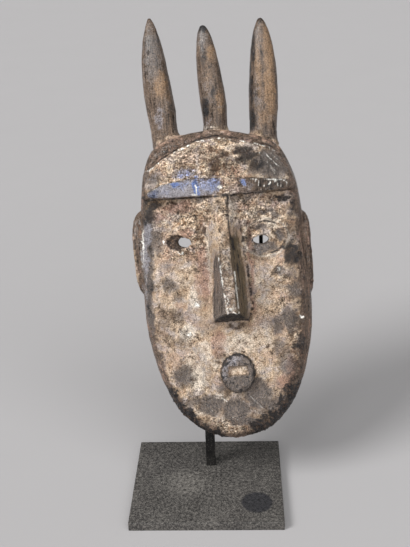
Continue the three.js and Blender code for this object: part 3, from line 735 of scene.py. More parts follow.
def crack_crust(at, mouth, layers):
    """Flakes where the crust is thick, and the crevices between them."""
    rugged = at.spots(RUGGED, 0.6) * at.front
    cells = smoothstep(scoops(at.ragged * np.array((0.75, 1, 1.3)), 4.6, 51), 0.42, 0.8)
    broken = smoothstep(at.noise(8, 52) + 0.4 * at.grit, -0.5, 0.2)
    flaked = at.noise(6.5, 53, 3, (0.75, 1, 1.35))
    gaps = bell(flaked + 0.03, 0.07) * (0.15 + 0.85 * rugged)
    crevice = np.maximum(0.6 * cells * broken * rugged, gaps) * np.maximum(at.face, 0.5 * at.band)
    layers["rugged"] = rugged
    layers["flake"] = smoothstep(flaked, 0, 0.15) * rugged
    layers["crevice"] = crevice * (1 - mouth.disc) * (1 - 0.7 * at.nose)


def lay_crust(at, nose, mouth, rim, layers):
    """The pigment crust, rubbed thin on the nose, mouth, band and grey patches."""
    flaky = layers["flake"] - 0.5 * layers["rugged"]
    crust = (0.82 + 0.16 * at.noise(26, 55, 4) + 0.12 * at.grit + 0.3 * flaky) * at.face
    crust *= (1 - 0.8 * mouth.flat) * (1 - 0.8 * at.band)
    crust *= 1 - np.maximum(nose.greasy, nose.left) * (0.85 - 0.45 * at.streaks)
    crust *= 1 - 0.45 * nose.ridge * smoothstep(240 - at.height, 0, 40)
    crust *= 1 - 0.6 * nose.right_foot
    drips = smoothstep(at.noise(3, 63, 3, (1, 1, 0.22)), -0.1, 0.6)
    crust = np.maximum(crust, 0.6 * rim.bare * drips) * (1 - 0.6 * layers["grey"])
    band_middle = at.band * smoothstep(at.across, 1, 5) * smoothstep(23 - at.across, 0, 3)
    layers["crust"] = np.maximum.reduce([crust, 0.8 * band_middle, at.collar * (0.65 + 0.4 * at.grit)])


def paint_nose(at, nose, layers):
    """The rubbed ridge with a painted highlight low down, the dark left side, the greasy right side, soot in
    the seams, and painted shade on the underside.
    """
    low_ridge = nose.ridge * smoothstep(235 - at.height, 0, 40)
    lay(layers, "grey", low_ridge * (0.35 + 0.4 * at.streaks), nose.left * (0.85 + 0.5 * at.streaks))
    lay(
        # Painted shade: soot on the nose's underside, which faces down.
        layers, "soot_and_shade", 0.95 * nose.shaded_underside, 0.55 * nose.seam, 0.95 * nose.cut,
        0.5 * nose.right * smoothstep(150 - at.height, 0, 12),
        nose.greasy * smoothstep(at.streaks, -0.1, 0.5),
        0.75 * nose.left * smoothstep(at.streaks, -0.15, 0.35),
        0.7 * nose.ridge * smoothstep(-at.grit, 0.1, 0.5),
    )
    # The umber on the underside is painted shade as well; the umber in the seams is dirt.
    lay(layers, "umber_and_shade", 0.85 * nose.seam, 0.6 * nose.shaded_underside * smoothstep(at.grit, 0, 0.4))
    lay(layers, "amber", 0.9 * nose.right_foot)
    layers["olive"] *= at.nose
    lay(layers, "olive", nose.greasy * (0.75 + 0.5 * at.streaks))
    # The pale on the lower ridge is partly wear and partly a painted highlight.
    lay(
        layers, "pale_and_highlights", 0.7 * nose.left * smoothstep(-at.streaks, 0.2, 0.6),
        0.9 * nose.worn_and_highlit_ridge * smoothstep(at.grit, 0, 0.4),
    )


def paint_mouth(at, mouth, layers):
    """The mouth's grey disc, with a painted highlight on its upper left, a dark edge and a pale slot."""
    lay(layers, "grey", mouth.flat * (0.75 + 0.35 * smoothstep(MOUTH[1] - at.height, -2, 6)))
    lay(
        layers, "soot_and_shade", mouth.edge * smoothstep(at.grit, -0.7, -0.1),
        0.9 * mouth.flat * smoothstep(at.grit, -0.1, 0.5),
    )
    # Painted highlight: slate and pale on the disc's upper left, where the light catches it.
    lay(layers, "slate_and_sheen", 0.55 * mouth.painted_highlight * (1 - mouth.slot))
    lay(layers, "pale_and_highlights", 0.45 * mouth.disc * mouth.slot, 0.8 * mouth.painted_highlight * smoothstep(at.grit, 0, 0.5))


def paint_eyes(at, layers):
    """The dark scoop beside the left eye's hole, partly painted shade of the recess, and the incised ring of
    the right eye.
    """
    scoop = (1 - smoothstep(oval(at.ragged, LEFT_EYE, LEFT_EYE_SCOOP), 0.8, 1.05)) * at.front
    scoop *= smoothstep(LEFT_HOLE[0] + 4 - at.across, 0, 6)
    far = oval(0.75 * at.place + 0.25 * at.ragged, RIGHT_EYE, RIGHT_EYE_RING)
    ring = bell((far - 1) * RING_SPAN, 1.5) * at.front
    lay(layers, "grey", 0.5 * ring)
    # The soot and umber in the scoop are partly dark crust and partly painted shade of the carved recess.
    lay(layers, "soot_and_shade", 0.6 * scoop, ring * (0.35 + 0.6 * smoothstep(at.broad + 0.5 * at.grit, -0.1, 0.4)))
    lay(layers, "umber_and_shade", 0.85 * scoop)
    lay(layers, "pale_and_highlights", bell((far - 1.15) * RING_SPAN, 1.5) * at.front)


def paint_band(at, layers):
    """The brow band: blue on its left, dark with pale strokes on its right, the groove above it, and a
    painted shadow line under it.
    """
    layers["slate_and_sheen"] *= np.where(at.height < HORN_FOOT, 1, at.horn)
    layers["slate_and_sheen"] *= np.where((at.height > BAND_FOOT) & (at.height < BAND_PEAK), at.band, 1)
    layers["blue"] *= np.where(at.height < BAND_PEAK, at.band, 1)
    left = at.band * smoothstep(-8 - at.across, 0, 4)
    right = at.band * smoothstep(at.across, 34, 40)
    edge = bell(at.height - on_line(BAND_TOP, at.across), 1.1) * at.band
    # Painted shadow: a dark line just under the band's foot, where the brow overhangs the face.
    band_shadow_line = bell(at.height - BAND_FOOT + 1.6, 1.3) * smoothstep(75 - abs(at.across), 0, 3) * at.front
    gap = at.height - on_line(GROOVE, at.across)
    groove = bell(gap, 1.3) * smoothstep(70 - abs(at.across), 0, 3) * at.front
    chips = bell(gap + 2.4, 1.0) * at.front * smoothstep(-gap, 0, 1)
    dark = at.band * smoothstep(at.across, 36, 44)
    lay(layers, "soot_and_shade", groove, 0.9 * band_shadow_line, 0.75 * dark * smoothstep(-at.strokes, -0.2, 0.3))
    lay(
        layers, "pale_and_highlights", 0.9 * edge, 0.8 * right * smoothstep(at.strokes, 0.1, 0.4),
        0.9 * left * smoothstep(at.grit, 0.1, 0.6),
    )
    lay(
        layers, "chips_and_highlights", 0.8 * right * smoothstep(at.strokes, 0.3, 0.55),
        chips * smoothstep(at.grit, -0.2, 0.3),
        edge * smoothstep(np.abs(at.across - 2), 30, 40) * smoothstep(at.grit, -0.5, 0.1),
    )


def wear_rim(at, rim, layers):
    """Soot and dark crust on the rim and the chin's edge, a darkened inner edge of the rim that is partly
    painted shade, and painted shade on the sides of the horns.
    """
    # Painted shade: soot on the horns' sides that turn away from the front, more on their right sides,
    # stands in for the light falling off round them.
    shaded_side = np.abs(at.facing[:, 0]) + 0.25 * at.facing[:, 0] + 0.15 * at.rough
    lay(
        layers, "soot_and_shade", 1.3 * rim.chin * smoothstep(at.grit + 0.6 * at.streaks, -0.8, 0.2), 0.7 * rim.worn,
        0.45 * at.horn * smoothstep(shaded_side, 0.5, 1.15),
    )
    lay(layers, "umber_and_shade", 0.85 * rim.worn, 0.75 * rim.chin)
    lay(layers, "rust", 0.8 * rim.bare)


def weather_face(at, layers):
    """Clouds of grey and rust on the face, its light scratches, and the painted highlight lines among them.
    """
    lay(layers, "grey", 0.5 * smoothstep(at.noise(24, 71, 3), 0, 0.5) * at.face)
    lay(layers, "rust", 0.45 * smoothstep(at.noise(20, 72, 3), 0.05, 0.5) * at.face)
    broken = smoothstep(at.grit, -0.6, 0)
    lay(layers, "chips_and_highlights", *(strength * at.along(line, 0.8) * broken for *line, strength in SCRATCHES_AND_HIGHLIGHTS))


def mask_layers(at):
    """How much of each pigment and wear lies on each vertex, by name."""
    nose, mouth, rim = nose_parts(at), mouth_parts(at), rim_parts(at)
    layers = {kind: at.spots(SPOTS[kind], SPOT_EDGES.get(kind, SPOT_EDGE)) for kind in SPOTS}
    crack_crust(at, mouth, layers)
    lay_crust(at, nose, mouth, rim, layers)
    paint_nose(at, nose, layers)
    paint_mouth(at, mouth, layers)
    paint_eyes(at, layers)
    paint_band(at, layers)
    wear_rim(at, rim, layers)
    weather_face(at, layers)
    layers["polish"] = np.maximum.reduce([
        0.6 * layers["grey"], 0.6 * layers["slate_and_sheen"], 0.9 * nose.worn_and_highlit_ridge, 0.7 * nose.left,
        0.55 * at.horn, 0.6 * mouth.flat, 0.6 * (1 - at.face) * (1 - at.hollow),
    ])
    layers.update(horn=at.horn, hollow=at.hollow, front=at.front)
    return layers


def relief(at, layers, settings):
    """How far each vertex moves out along its normal, in millimetres."""
    fine = at.noise(2.4, 33, 2)
    outer = 1 - at.hollow
    bare = outer * (1 - at.front) * (1 - at.horn)
    crumbly = at.rough + 0.6 * fine
    uneven = at.noise(24, 31) + 0.5 * at.noise(9, 32)
    height = settings.hand_cut / MM * uneven * outer * (1 - 0.5 * at.horn)
    stretched = at.place * np.array((1, 1, 0.55))
    height += settings.gouge / MM * at.hollow * (scoops(stretched, 13, 2) - 0.5)
    height += 0.3 * (scoops(stretched, 10, 5) - 0.5) * bare
    fibres = at.noise(2.2, 41, 2, (1, 1, 0.12))
    height += fibres * (0.25 * at.horn + 0.15 * bare)

    thick = 0.45 + 0.9 * layers["rugged"]
    crust = smoothstep(layers["crust"], 0.4, 0.62) * (0.4 + thick * (1.1 * at.rough + 0.6 * fine))
    height += settings.crust / MM * crust
    height += 0.9 * layers["flake"] - layers["crevice"] + 0.3 * layers["chips_and_highlights"]
    height += 1.1 * layers["umber_and_shade"] * (0.6 + at.rough + 0.8 * fine) * at.front
    chin_edge = smoothstep(78 - at.height, 0, 26) * smoothstep(14 - at.edge, 0, 5) * outer
    height += 0.35 * chin_edge * crumbly
    height += 0.6 * at.collar * (0.7 + at.rough + 0.5 * fine)

    scoop = 1 - smoothstep(oval(at.place, LEFT_EYE, LEFT_EYE_SCOOP), 0.5, 1.05)
    ring = oval(at.place, RIGHT_EYE, RIGHT_EYE_RING)
    carved = 3.4 * scoop * smoothstep(LEFT_HOLE[0] - at.across, -2, 9)
    carved += 0.55 * bell((ring - 1) * RING_SPAN, 1.4) + 0.5 * (1 - smoothstep(ring, 0.9, 1))
    carved += 1.4 * (1 - smoothstep(oval(at.place, MOUTH_NICK, (4, 4)), 0.4, 1.1))
    carved += 1.1 * bell(line_distance(at.place, NOSE_SEAM), 1.3)
    carved += 1.2 * bell(line_distance(at.place, NOSE_CUT), 1.0)
    for crack in CRACKS:
        carved += 0.6 * bell(line_distance(at.ragged, crack), 0.7)
    return height - carved * at.front


def store_layers(mesh, layers):
    """Keeps the layers in the mesh's colour attributes, up to four in each."""
    for name, kinds in FIELDS.items():
        values = np.zeros((len(mesh.vertices), 4), np.float32)
        for i, kind in enumerate(kinds):
            values[:, i] = np.clip(layers[kind], 0, 1)
        mesh.attributes.new(name, "FLOAT_COLOR", "POINT").data.foreach_set("color", values.ravel())


def thinning(mesh):
    """How far each of the mask's vertices may be thinned: not the front and eyes, the horns a little."""
    points, normals = coordinates(mesh)
    place = in_mask(points)
    facing = normals @ np.array(MASK_TURN)
    horn = place[:, 2] > crown_height(place[:, 0]) + 2
    eyes = np.minimum(oval(place, LEFT_HOLE, EYE_WALL), oval(place, RIGHT_EYE, EYE_WALL))
    front = ((facing[:, 1] < -0.15) & (place[:, 1] < 22) & ~horn) | (eyes < 1)
    return np.where(front, 0.0, np.where(horn, HORN_THINNING, BACK_THINNING))


def thin_back(piece, kept):
    """Thins the faces behind and inside, and keeps those of the front."""
    amount = thinning(piece.data)
    group = piece.vertex_groups.new(name="thin")
    for level in (HORN_THINNING, BACK_THINNING):
        group.add(np.nonzero(amount == level)[0].tolist(), level, "REPLACE")
    thin = piece.modifiers.new("Thin", "DECIMATE")
    thin.ratio = kept
    thin.vertex_group = group.name
    thin.vertex_group_factor = 1
    apply_modifiers(piece)
    piece.vertex_groups.clear()


class MASK_OT_carve(bpy.types.Operator):
    """Carve the mask's worn surface and lay its crust and paint"""

    bl_idname = "mask.carve"
    bl_label = "Carve Mask"
    bl_options = {"REGISTER", "UNDO"}

    def execute(self, context):
        settings = context.scene.mask_settings
        solid = merged_copy("mask")
        source = solid.copy()
        piece = new_piece("carved_mask", finished_mesh(solid, "carved_mask"), CARVED_WOOD, "mask")
        remesh = piece.modifiers.new("Remesh", "REMESH")
        remesh.mode = "VOXEL"
        remesh.voxel_size = settings.voxel
        apply_modifiers(piece)
        points, _ = coordinates(piece.data)
        far = crease_distance(source, points) / MM
        source.free()
        without_facets(piece.data, 0.25 + 0.75 * smoothstep(far, 1.2, 5), SMOOTHING_ROUNDS)
        thin_back(piece, settings.kept)
        piece.data.shade_smooth()
        at = MaskPlaces(piece.data)
        layers = mask_layers(at)
        points, normals = coordinates(piece.data)
        move_vertices(piece.data, points + normals * relief(at, layers, settings)[:, None] * MM)
        store_layers(piece.data, layers)
        piece.data.materials.clear()
        piece.data.materials.append(carved_wood_material(context.scene.paint_settings))
        return {"FINISHED"}


def rounded_copy(node, edge):
    """A CAD node's shape with its sharp edges rounded."""
    bm = merged_copy(node)
    bmesh.ops.dissolve_limit(bm, angle_limit=FLAT_ANGLE, verts=bm.verts, edges=bm.edges)
    sharp = [e for e in bm.edges if e.is_manifold and e.calc_face_angle(0) > BEVEL_ANGLE]
    bmesh.ops.bevel(
        bm, geom=sharp, offset=edge, offset_type="OFFSET", segments=EDGE_STEPS, profile=0.5,
        affect="EDGES", clamp_overlap=True, material=-1,
    )
    return bm


def steel_piece(name, bm, slot, node, material):
    """A piece of the stand that stands for a CAD node, with its flats kept flat."""
    piece = new_piece(name, finished_mesh(bm, name), slot, node)
    piece.data.set_sharp_from_angle(angle=SHADE_ANGLE)
    piece.data.materials.clear()
    piece.data.materials.append(material)


class MASK_OT_plate(bpy.types.Operator):
    """Make the stand's plate with rounded edges"""

    bl_idname = "mask.plate"
    bl_label = "Finish Plate"
    bl_options = {"REGISTER", "UNDO"}

    def execute(self, context):
        settings = context.scene.stand_settings
        low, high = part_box("base_plate")
        bm = bmesh.new()
        bmesh.ops.create_cube(bm, size=1)
        bmesh.ops.scale(bm, vec=high - low, verts=bm.verts)
        bmesh.ops.translate(bm, vec=(low + high) / 2, verts=bm.verts)
        bmesh.ops.bevel(
            bm, geom=bm.edges[:], offset=settings.plate_edge, segments=EDGE_STEPS, profile=0.5,
            affect="EDGES", material=-1,
        )
        steel_piece("plate", bm, PLATE_STEEL, "base_plate", plate_material(settings))
        return {"FINISHED"}


class MASK_OT_bars(bpy.types.Operator):
    """Round the edges of the upright bar and of the fork that carries the crown"""

    bl_idname = "mask.bars"
    bl_label = "Finish Bars"
    bl_options = {"REGISTER", "UNDO"}

    def execute(self, context):
        settings = context.scene.stand_settings
        steel = bar_material(settings)
        for name, node in (("bar", "upright_bar"), ("prongs", "fork")):
            steel_piece(name, rounded_copy(node, settings.bar_edge), BLACK_STEEL, node, steel)
        return {"FINISHED"}


class Nodes:
    """A short way to build a material's nodes."""

    def __init__(self, tree):
        self.tree = tree

    def put(self, socket, value):
        """Gives a socket another's output, or a value."""
        if isinstance(value, bpy.types.NodeSocket):
            self.tree.links.new(value, socket)
        else:
            socket.default_value = value

    def add(self, kind, inputs=None, **settings):
        """A node with its settings, and its inputs given by name or number."""
        node = self.tree.nodes.new(kind)
        for name, value in settings.items():
            setattr(node, name, value)
        for key, value in (inputs or {}).items():
            self.put(node.inputs[key], value)
        return node

    def math(self, operation, a, b, clamp=False):
        """The result of a sum on two values."""
        return self.add("ShaderNodeMath", {0: a, 1: b}, operation=operation, use_clamp=clamp).outputs[0]

    def plus(self, total, *others):
        """Values added up."""
        for value in others:
            total = self.math("ADD", total, value)
        return total

    def minus(self, a, b):
        """The second value taken from the first."""
        return self.math("SUBTRACT", a, b)

    def times(self, a, b):
        """Two values multiplied."""
        return self.math("MULTIPLY", a, b)

    def about(self, value, strength):
        """A noise's swing about its middle, at a strength."""
        return self.times(self.minus(value, 0.5), strength)

    def rise(self, value, low, high):
        """0 below low and 1 above high, with a smooth rise between them."""
        return self.add(
            "ShaderNodeMapRange", {"Value": value, "From Min": low, "From Max": high},
            interpolation_type="SMOOTHSTEP",
        ).outputs["Result"]

    def mix(self, share, first, second):
        """A mix of two colours, each a socket or three parts."""
        node = self.add("ShaderNodeMix", data_type="RGBA")
        self.put(node.inputs[0], share)
        for socket, value in zip((node.inputs[6], node.inputs[7]), (first, second)):
            self.put(socket, value if isinstance(value, bpy.types.NodeSocket) else opaque(value))
        return node.outputs[2]

    def scaled(self, value, amount):
        """A colour made lighter or darker."""
        node = self.add("ShaderNodeVectorMath", {0: value, "Scale": amount}, operation="SCALE")
        return node.outputs["Vector"]

    def distance(self, place, middle):
        """Distance from a place to a middle."""
        return self.add("ShaderNodeVectorMath", {0: place, 1: middle}, operation="DISTANCE").outputs["Value"]

    def ramp(self, value, *stops):
        """A run of colours along a value, from stops of place and colour."""
        node = self.add("ShaderNodeValToRGB", {"Fac": value})
        elements = node.color_ramp.elements
        while len(elements) < len(stops):
            elements.new(0.5)
        for element, (place, value) in zip(elements, stops):
            element.position = place
            element.color = opaque(value)
        return node.outputs["Color"]

    def noise(self, vector, scale, detail=3.0, roughness=0.55, distortion=0.0):
        """Noise of 0 to 1."""
        return self.add("ShaderNodeTexNoise", {
            "Vector": vector, "Scale": scale, "Detail": detail, "Roughness": roughness,
            "Distortion": distortion,
        }).outputs["Fac"]

    def flecks(self, vector, size, amount):
        """A mask of small irregular flecks of about a size in millimetres."""
        node = self.add("ShaderNodeGroup", node_tree=flecks_group())
        for name, value in {"Vector": vector, "Size": size, "Amount": amount}.items():
            self.put(node.inputs[name], value)
        return node.outputs["Mask"]

    def fields(self, name):
        """The four fields kept in a colour attribute."""
        node = self.add("ShaderNodeAttribute", attribute_type="GEOMETRY", attribute_name=name)
        parts = self.add("ShaderNodeSeparateColor", {"Color": node.outputs["Color"]})
        return [*parts.outputs[:3], node.outputs["Alpha"]]

    def finish(self, shader, base, roughness, height, strength, distance):
        """Links a shader's colour and roughness, and the bumps of a height to its normal."""
        bump = self.add("ShaderNodeBump", {
            "Height": height, "Strength": strength, "Distance": distance * MM,
        })
        self.put(shader.inputs["Base Color"], base)
        self.put(shader.inputs["Roughness"], roughness)
        self.put(shader.inputs["Normal"], bump.outputs["Normal"])


def opaque(value):
    """A colour with full alpha."""
    return (*value, 1.0)


def on_stand(nodes):
    """Object coordinates in millimetres."""
    place = nodes.add("ShaderNodeTexCoord").outputs["Object"]
    per_mm = (1 / MM, 1 / MM, 1 / MM)
    return nodes.add("ShaderNodeMapping", {"Vector": place, "Scale": per_mm}).outputs["Vector"]


def on_mask(nodes, stretch=(1, 1, 1)):
    """Object coordinates in the mask's own frame in millimetres, stretched along its axes."""
    place = nodes.add("ShaderNodeMapping", {
        "Vector": nodes.add("ShaderNodeTexCoord").outputs["Object"],
        "Location": CHIN, "Rotation": MASK_TURN.to_euler("XYZ"), "Scale": (MM, MM, MM),
    }, vector_type="TEXTURE").outputs["Vector"]
    return nodes.add("ShaderNodeMapping", {"Vector": place, "Scale": stretch}).outputs["Vector"]


def flecks_group():
    """A group that gives small irregular flecks from their place, size and amount."""
    if "Flecks" in bpy.data.node_groups:
        return bpy.data.node_groups["Flecks"]
    group = bpy.data.node_groups.new("Flecks", "ShaderNodeTree")
    face = group.interface
    face.new_socket("Vector", in_out="INPUT", socket_type="NodeSocketVector")
    face.new_socket("Size", in_out="INPUT", socket_type="NodeSocketFloat").default_value = 1.0
    face.new_socket("Amount", in_out="INPUT", socket_type="NodeSocketFloat").default_value = 0.5
    face.new_socket("Mask", in_out="OUTPUT", socket_type="NodeSocketFloat")
    nodes = Nodes(group)
    given = nodes.add("NodeGroupInput").outputs
    fine = nodes.noise(given["Vector"], nodes.math("DIVIDE", 1.0, given["Size"]), 2.0, 0.6)
    level = nodes.minus(1.0, nodes.times(given["Amount"], 0.6))
    mask = nodes.rise(fine, nodes.minus(level, 0.27), nodes.minus(level, 0.17))
    nodes.add("NodeGroupOutput", {"Mask": mask})
    return group


def new_material(name, kind=Nodes):
    """A material with the builder of its nodes and its Principled shader."""
    material = bpy.data.materials.new(name)
    material.use_nodes = True
    tree = material.node_tree
    return material, kind(tree), tree.nodes["Principled BSDF"]


class MaskNodes(Nodes):
    """Nodes with the noises of the mask's surface and the layers that its mesh keeps."""

    def __init__(self, tree):
        super().__init__(tree)
        self.place = on_mask(self)
        self.fibre = self.noise(on_mask(self, (1, 1, 0.07)), 0.5, 7.0, 0.72, 0.4)
        self.fine = self.noise(self.place, 0.7, 4.0, 0.75)
        self.medium = self.noise(self.place, 0.16, 6.0, 0.66, 0.3)
        self.cloud = self.noise(self.place, 0.045, 6.0, 0.6, 0.4)
        self.haze = self.noise(self.place, 0.07, 6.0, 0.65, 0.4)
        self.grain = self.plus(self.fibre, self.about(self.medium, 0.35), self.about(self.cloud, 0.5))
        self.layer = {}
        for name, kinds in FIELDS.items():
            self.layer.update(zip(kinds, self.fields(name)))

    def stirred(self, value, speck, lump):
        """A value stirred by fine and medium noise."""
        return self.plus(value, self.about(self.fine, speck), self.about(self.medium, lump))

    def laid(self, kind, low, high, most, speck=0.9, lump=0.6):
        """A layer with a broken edge, up to a most."""
        return self.times(self.rise(self.stirred(self.layer[kind], speck, lump), low, high), most)

    def coat(self, under, kind, tint, *edge):
        """A colour with a layer's tint laid over it."""
        return self.mix(self.laid(kind, *edge), under, tint)


def wood_colour(nodes, paint):
    """Bare wood with dark, brown and light grain, worn on the horns and amber where it is rubbed."""
    wood = nodes.ramp(
        nodes.grain, (0.36, paint.dark_wood), (0.46, paint.brown_wood), (0.58, paint.brown_wood),
        (0.74, paint.light_wood),
    )
    worn = nodes.ramp(
        nodes.grain, (0.32, paint.dark_wood), (0.42, paint.brown_wood), (0.56, paint.light_wood),
        (0.72, paint.amber),
    )
    wood = nodes.mix(nodes.times(nodes.layer["horn"], 0.3), wood, worn)
    return nodes.coat(wood, "amber", paint.amber, 0.1, 1.1, 0.8)


def crust_colour(nodes, paint):
    """The pigment crust: smooth earth, or flakes where it is thick, with clouds, rust and pale patches."""
    earth = nodes.ramp(
        nodes.plus(nodes.stirred(0.5, 0.95, 0.7), nodes.about(nodes.cloud, 0.5)),
        (0.3, paint.brown), (0.42, paint.tan), (0.54, paint.tan), (0.66, paint.cream),
    )
    flake = nodes.noise(on_mask(nodes, (0.8, 1, 1.25)), 0.26, 5.0, 0.72, 1.0)
    flaky = nodes.ramp(
        nodes.plus(flake, nodes.about(nodes.fine, 0.22)), (0.34, paint.umber_and_shade), (0.39, paint.brown),
        (0.43, paint.amber), (0.475, paint.tan), (0.55, paint.cream),
    )
    thick = nodes.plus(nodes.layer["rugged"], nodes.about(nodes.medium, 1.2))
    earth = nodes.mix(nodes.rise(thick, 0.15, 0.6), earth, flaky)
    for clouds, low, high, most, tint in (
        (nodes.cloud, 0.48, 0.66, 0.45, paint.rust),
        (nodes.haze, 0.5, 0.62, 0.42, paint.slate_and_sheen),
        (nodes.haze, 0.48, 0.38, 0.55, paint.amber),
    ):
        earth = nodes.mix(nodes.times(nodes.rise(clouds, low, high), most), earth, tint)
    earth = nodes.coat(earth, "rust", paint.rust, 0.1, 1.05, 0.8, 1.2, 1.4)
    return nodes.coat(earth, "pale_and_highlights", paint.pale_and_highlights, 0.15, 1.2, 0.75, 1.3, 1.2)


def patina_and_painted_light_colour(nodes, paint, result):
    """Grease, rubbed grey, greyed blue paint with painted sheen, blue paint, and umber and soot which also
    paint shade, laid over wood and crust in this order.
    """
    grey = nodes.layer["grey"]
    result = nodes.coat(result, "olive", paint.olive, 0.2, 1.0, 0.8)
    deep_grey = [0.54 * part for part in paint.grey]
    greys = nodes.ramp(nodes.plus(grey, nodes.stirred(0, 0.6, 1.6)), (0.55, paint.grey), (1.0, deep_grey))
    result = nodes.coat(result, "grey", greys, 0.25, 0.95, 0.8, 1.1, 2.2)
    rubbed = nodes.times(nodes.flecks(nodes.place, 1.4, 0.42), nodes.times(grey, 0.22))
    result = nodes.mix(rubbed, result, paint.tan)
    result = nodes.coat(result, "slate_and_sheen", paint.slate_and_sheen, 0.2, 0.9, 0.8, 1.6, 1.6)
    light_blue = [0.35 * a + 0.65 * b for a, b in zip(paint.blue, paint.slate_and_sheen)]
    depth = nodes.plus(nodes.stirred(nodes.layer["blue"], 0.8, 1.2), nodes.about(nodes.fibre, 0.8))
    blues = nodes.ramp(depth, (0.62, light_blue), (0.95, paint.blue))
    result = nodes.coat(result, "blue", blues, 0.25, 0.8, 0.92, 1.2, 1.4)
    result = nodes.coat(result, "umber_and_shade", paint.umber_and_shade, 0.25, 0.95, 0.92, 2.0, 2.0)
    return nodes.coat(result, "soot_and_shade", paint.soot_and_shade, 0.3, 0.95, 0.94, 1.9, 1.9)


def carved_wood_material(paint):
    """Wood under crust, paint and patina, with painted shade and highlights, laid on by the layers that the
    mesh keeps.
    """
    material, nodes, shader = new_material("carved_wood_finish", MaskNodes)
    shader.inputs["Specular IOR Level"].default_value = 0.4
    about, layer = nodes.about, nodes.layer
    thin = nodes.plus(layer["crust"], about(nodes.cloud, 1.1), about(nodes.haze, 0.7))
    crust = nodes.rise(nodes.stirred(thin, 0.9, 1.3), 0.05, 0.72)
    result = nodes.mix(crust, wood_colour(nodes, paint), crust_colour(nodes, paint))
    result = patina_and_painted_light_colour(nodes, paint, result)
    dents = nodes.laid("crevice", 0.3, 1.0, 0.62, 1.6, 0.8)
    result = nodes.mix(dents, result, nodes.mix(nodes.medium, paint.brown, paint.umber_and_shade))
    pits = nodes.flecks(nodes.place, 1.5, nodes.times(nodes.plus(0.8, layer["rugged"]), 0.26))
    pits = nodes.times(pits, layer["front"])
    result = nodes.mix(nodes.times(pits, 0.6), result, paint.umber_and_shade)
    # White chips and painted highlights.
    result = nodes.coat(result, "chips_and_highlights", paint.chips_and_highlights, 0.3, 0.9, 0.95)
    inside = nodes.ramp(
        nodes.grain, (0.36, paint.dark_wood), (0.5, paint.brown_wood), (0.6, paint.brown_wood),
        (0.8, paint.light_wood),
    )
    result = nodes.mix(nodes.rise(layer["hollow"], 0.4, 0.7), result, inside)
    speckled = nodes.plus(
        1.0, about(nodes.fine, 2.2), about(nodes.noise(nodes.place, 1.1, 2.0), 2.4), about(nodes.fibre, 1.0),
        about(nodes.medium, 1.2),
    )
    flaked = nodes.plus(
        0.2, about(nodes.fine, 2.4), about(nodes.noise(nodes.place, 0.32, 5.0, 0.75, 0.6), 6.0),
    )
    speckled = nodes.plus(speckled, nodes.times(flaked, layer["rugged"]), nodes.times(layer["horn"], -0.14))
    matt = nodes.plus(
        0.42, nodes.times(crust, 0.4), nodes.times(layer["polish"], -0.26), about(nodes.fine, 0.6),
    )
    height = nodes.times(crust, nodes.plus(0.35, nodes.fine, nodes.medium))
    height = nodes.plus(
        height, nodes.times(pits, -0.5), nodes.times(dents, -0.7), nodes.times(nodes.fibre, 0.6),
    )
    nodes.finish(shader, nodes.scaled(result, speckled), nodes.math("MAXIMUM", matt, 0.24), height, 1.0, 0.9)
    return material


def dusty_steel(name, steel, dust, amount):
    """Blackened steel under flecks and a faint film of dust, before its shader is linked."""
    material, nodes, shader = new_material(name)
    place = on_stand(nodes)
    clouds = nodes.noise(place, 0.05, 4.0, 0.6)
    film = nodes.times(nodes.rise(clouds, 0.35, 0.75), 0.3 * amount)
    dusty = nodes.math("ADD", film, nodes.times(nodes.flecks(place, 1.6, amount), 0.35), clamp=True)
    return SimpleNamespace(
        material=material, nodes=nodes, shader=shader, place=place, clouds=clouds,
        fine=nodes.noise(place, 0.6, 3.0, 0.6), base=nodes.mix(dusty, steel, dust),
    )


def plate_material(settings):
    """The dusty plate, with a dark round stain and pale marks in front of the bar."""
    steel = dusty_steel("plate_steel_finish", settings.plate_colour, settings.dust, 0.5)
    nodes, place = steel.nodes, steel.place
    stain_edge = nodes.plus(nodes.distance(place, STAIN), nodes.times(steel.fine, 3.0))
    stain = nodes.minus(1.0, nodes.rise(stain_edge, 16.4, 19.0))
    result = nodes.mix(nodes.times(stain, 0.85), steel.base, STAIN_TONE)
    near = nodes.minus(1.0, nodes.rise(nodes.distance(place, MARKS), 8.0, 30.0))
    marks = nodes.times(near, nodes.flecks(place, 5.0, 0.62))
    result = nodes.mix(nodes.times(marks, 0.5), result, settings.dust)
    grains = nodes.plus(nodes.noise(place, 0.9, 3.0, 0.7), nodes.noise(place, 0.3, 3.0, 0.7))
    result = nodes.scaled(result, nodes.minus(nodes.times(grains, 4.0), 3.0))
    matt = nodes.plus(0.45, nodes.times(steel.clouds, 0.4), nodes.times(stain, -0.1))
    nodes.finish(steel.shader, result, matt, steel.fine, 0.8, 0.5)
    return steel.material


def bar_material(settings):
    """The near-black bars."""
    steel = dusty_steel("blackened_steel_finish", settings.bar_colour, settings.dust, 0.25)
    steel.shader.inputs["Specular IOR Level"].default_value = 0.25
    matt = steel.nodes.plus(0.35, steel.nodes.times(steel.clouds, 0.35))
    steel.nodes.finish(steel.shader, steel.base, matt, steel.fine, 0.3, 0.2)
    return steel.material


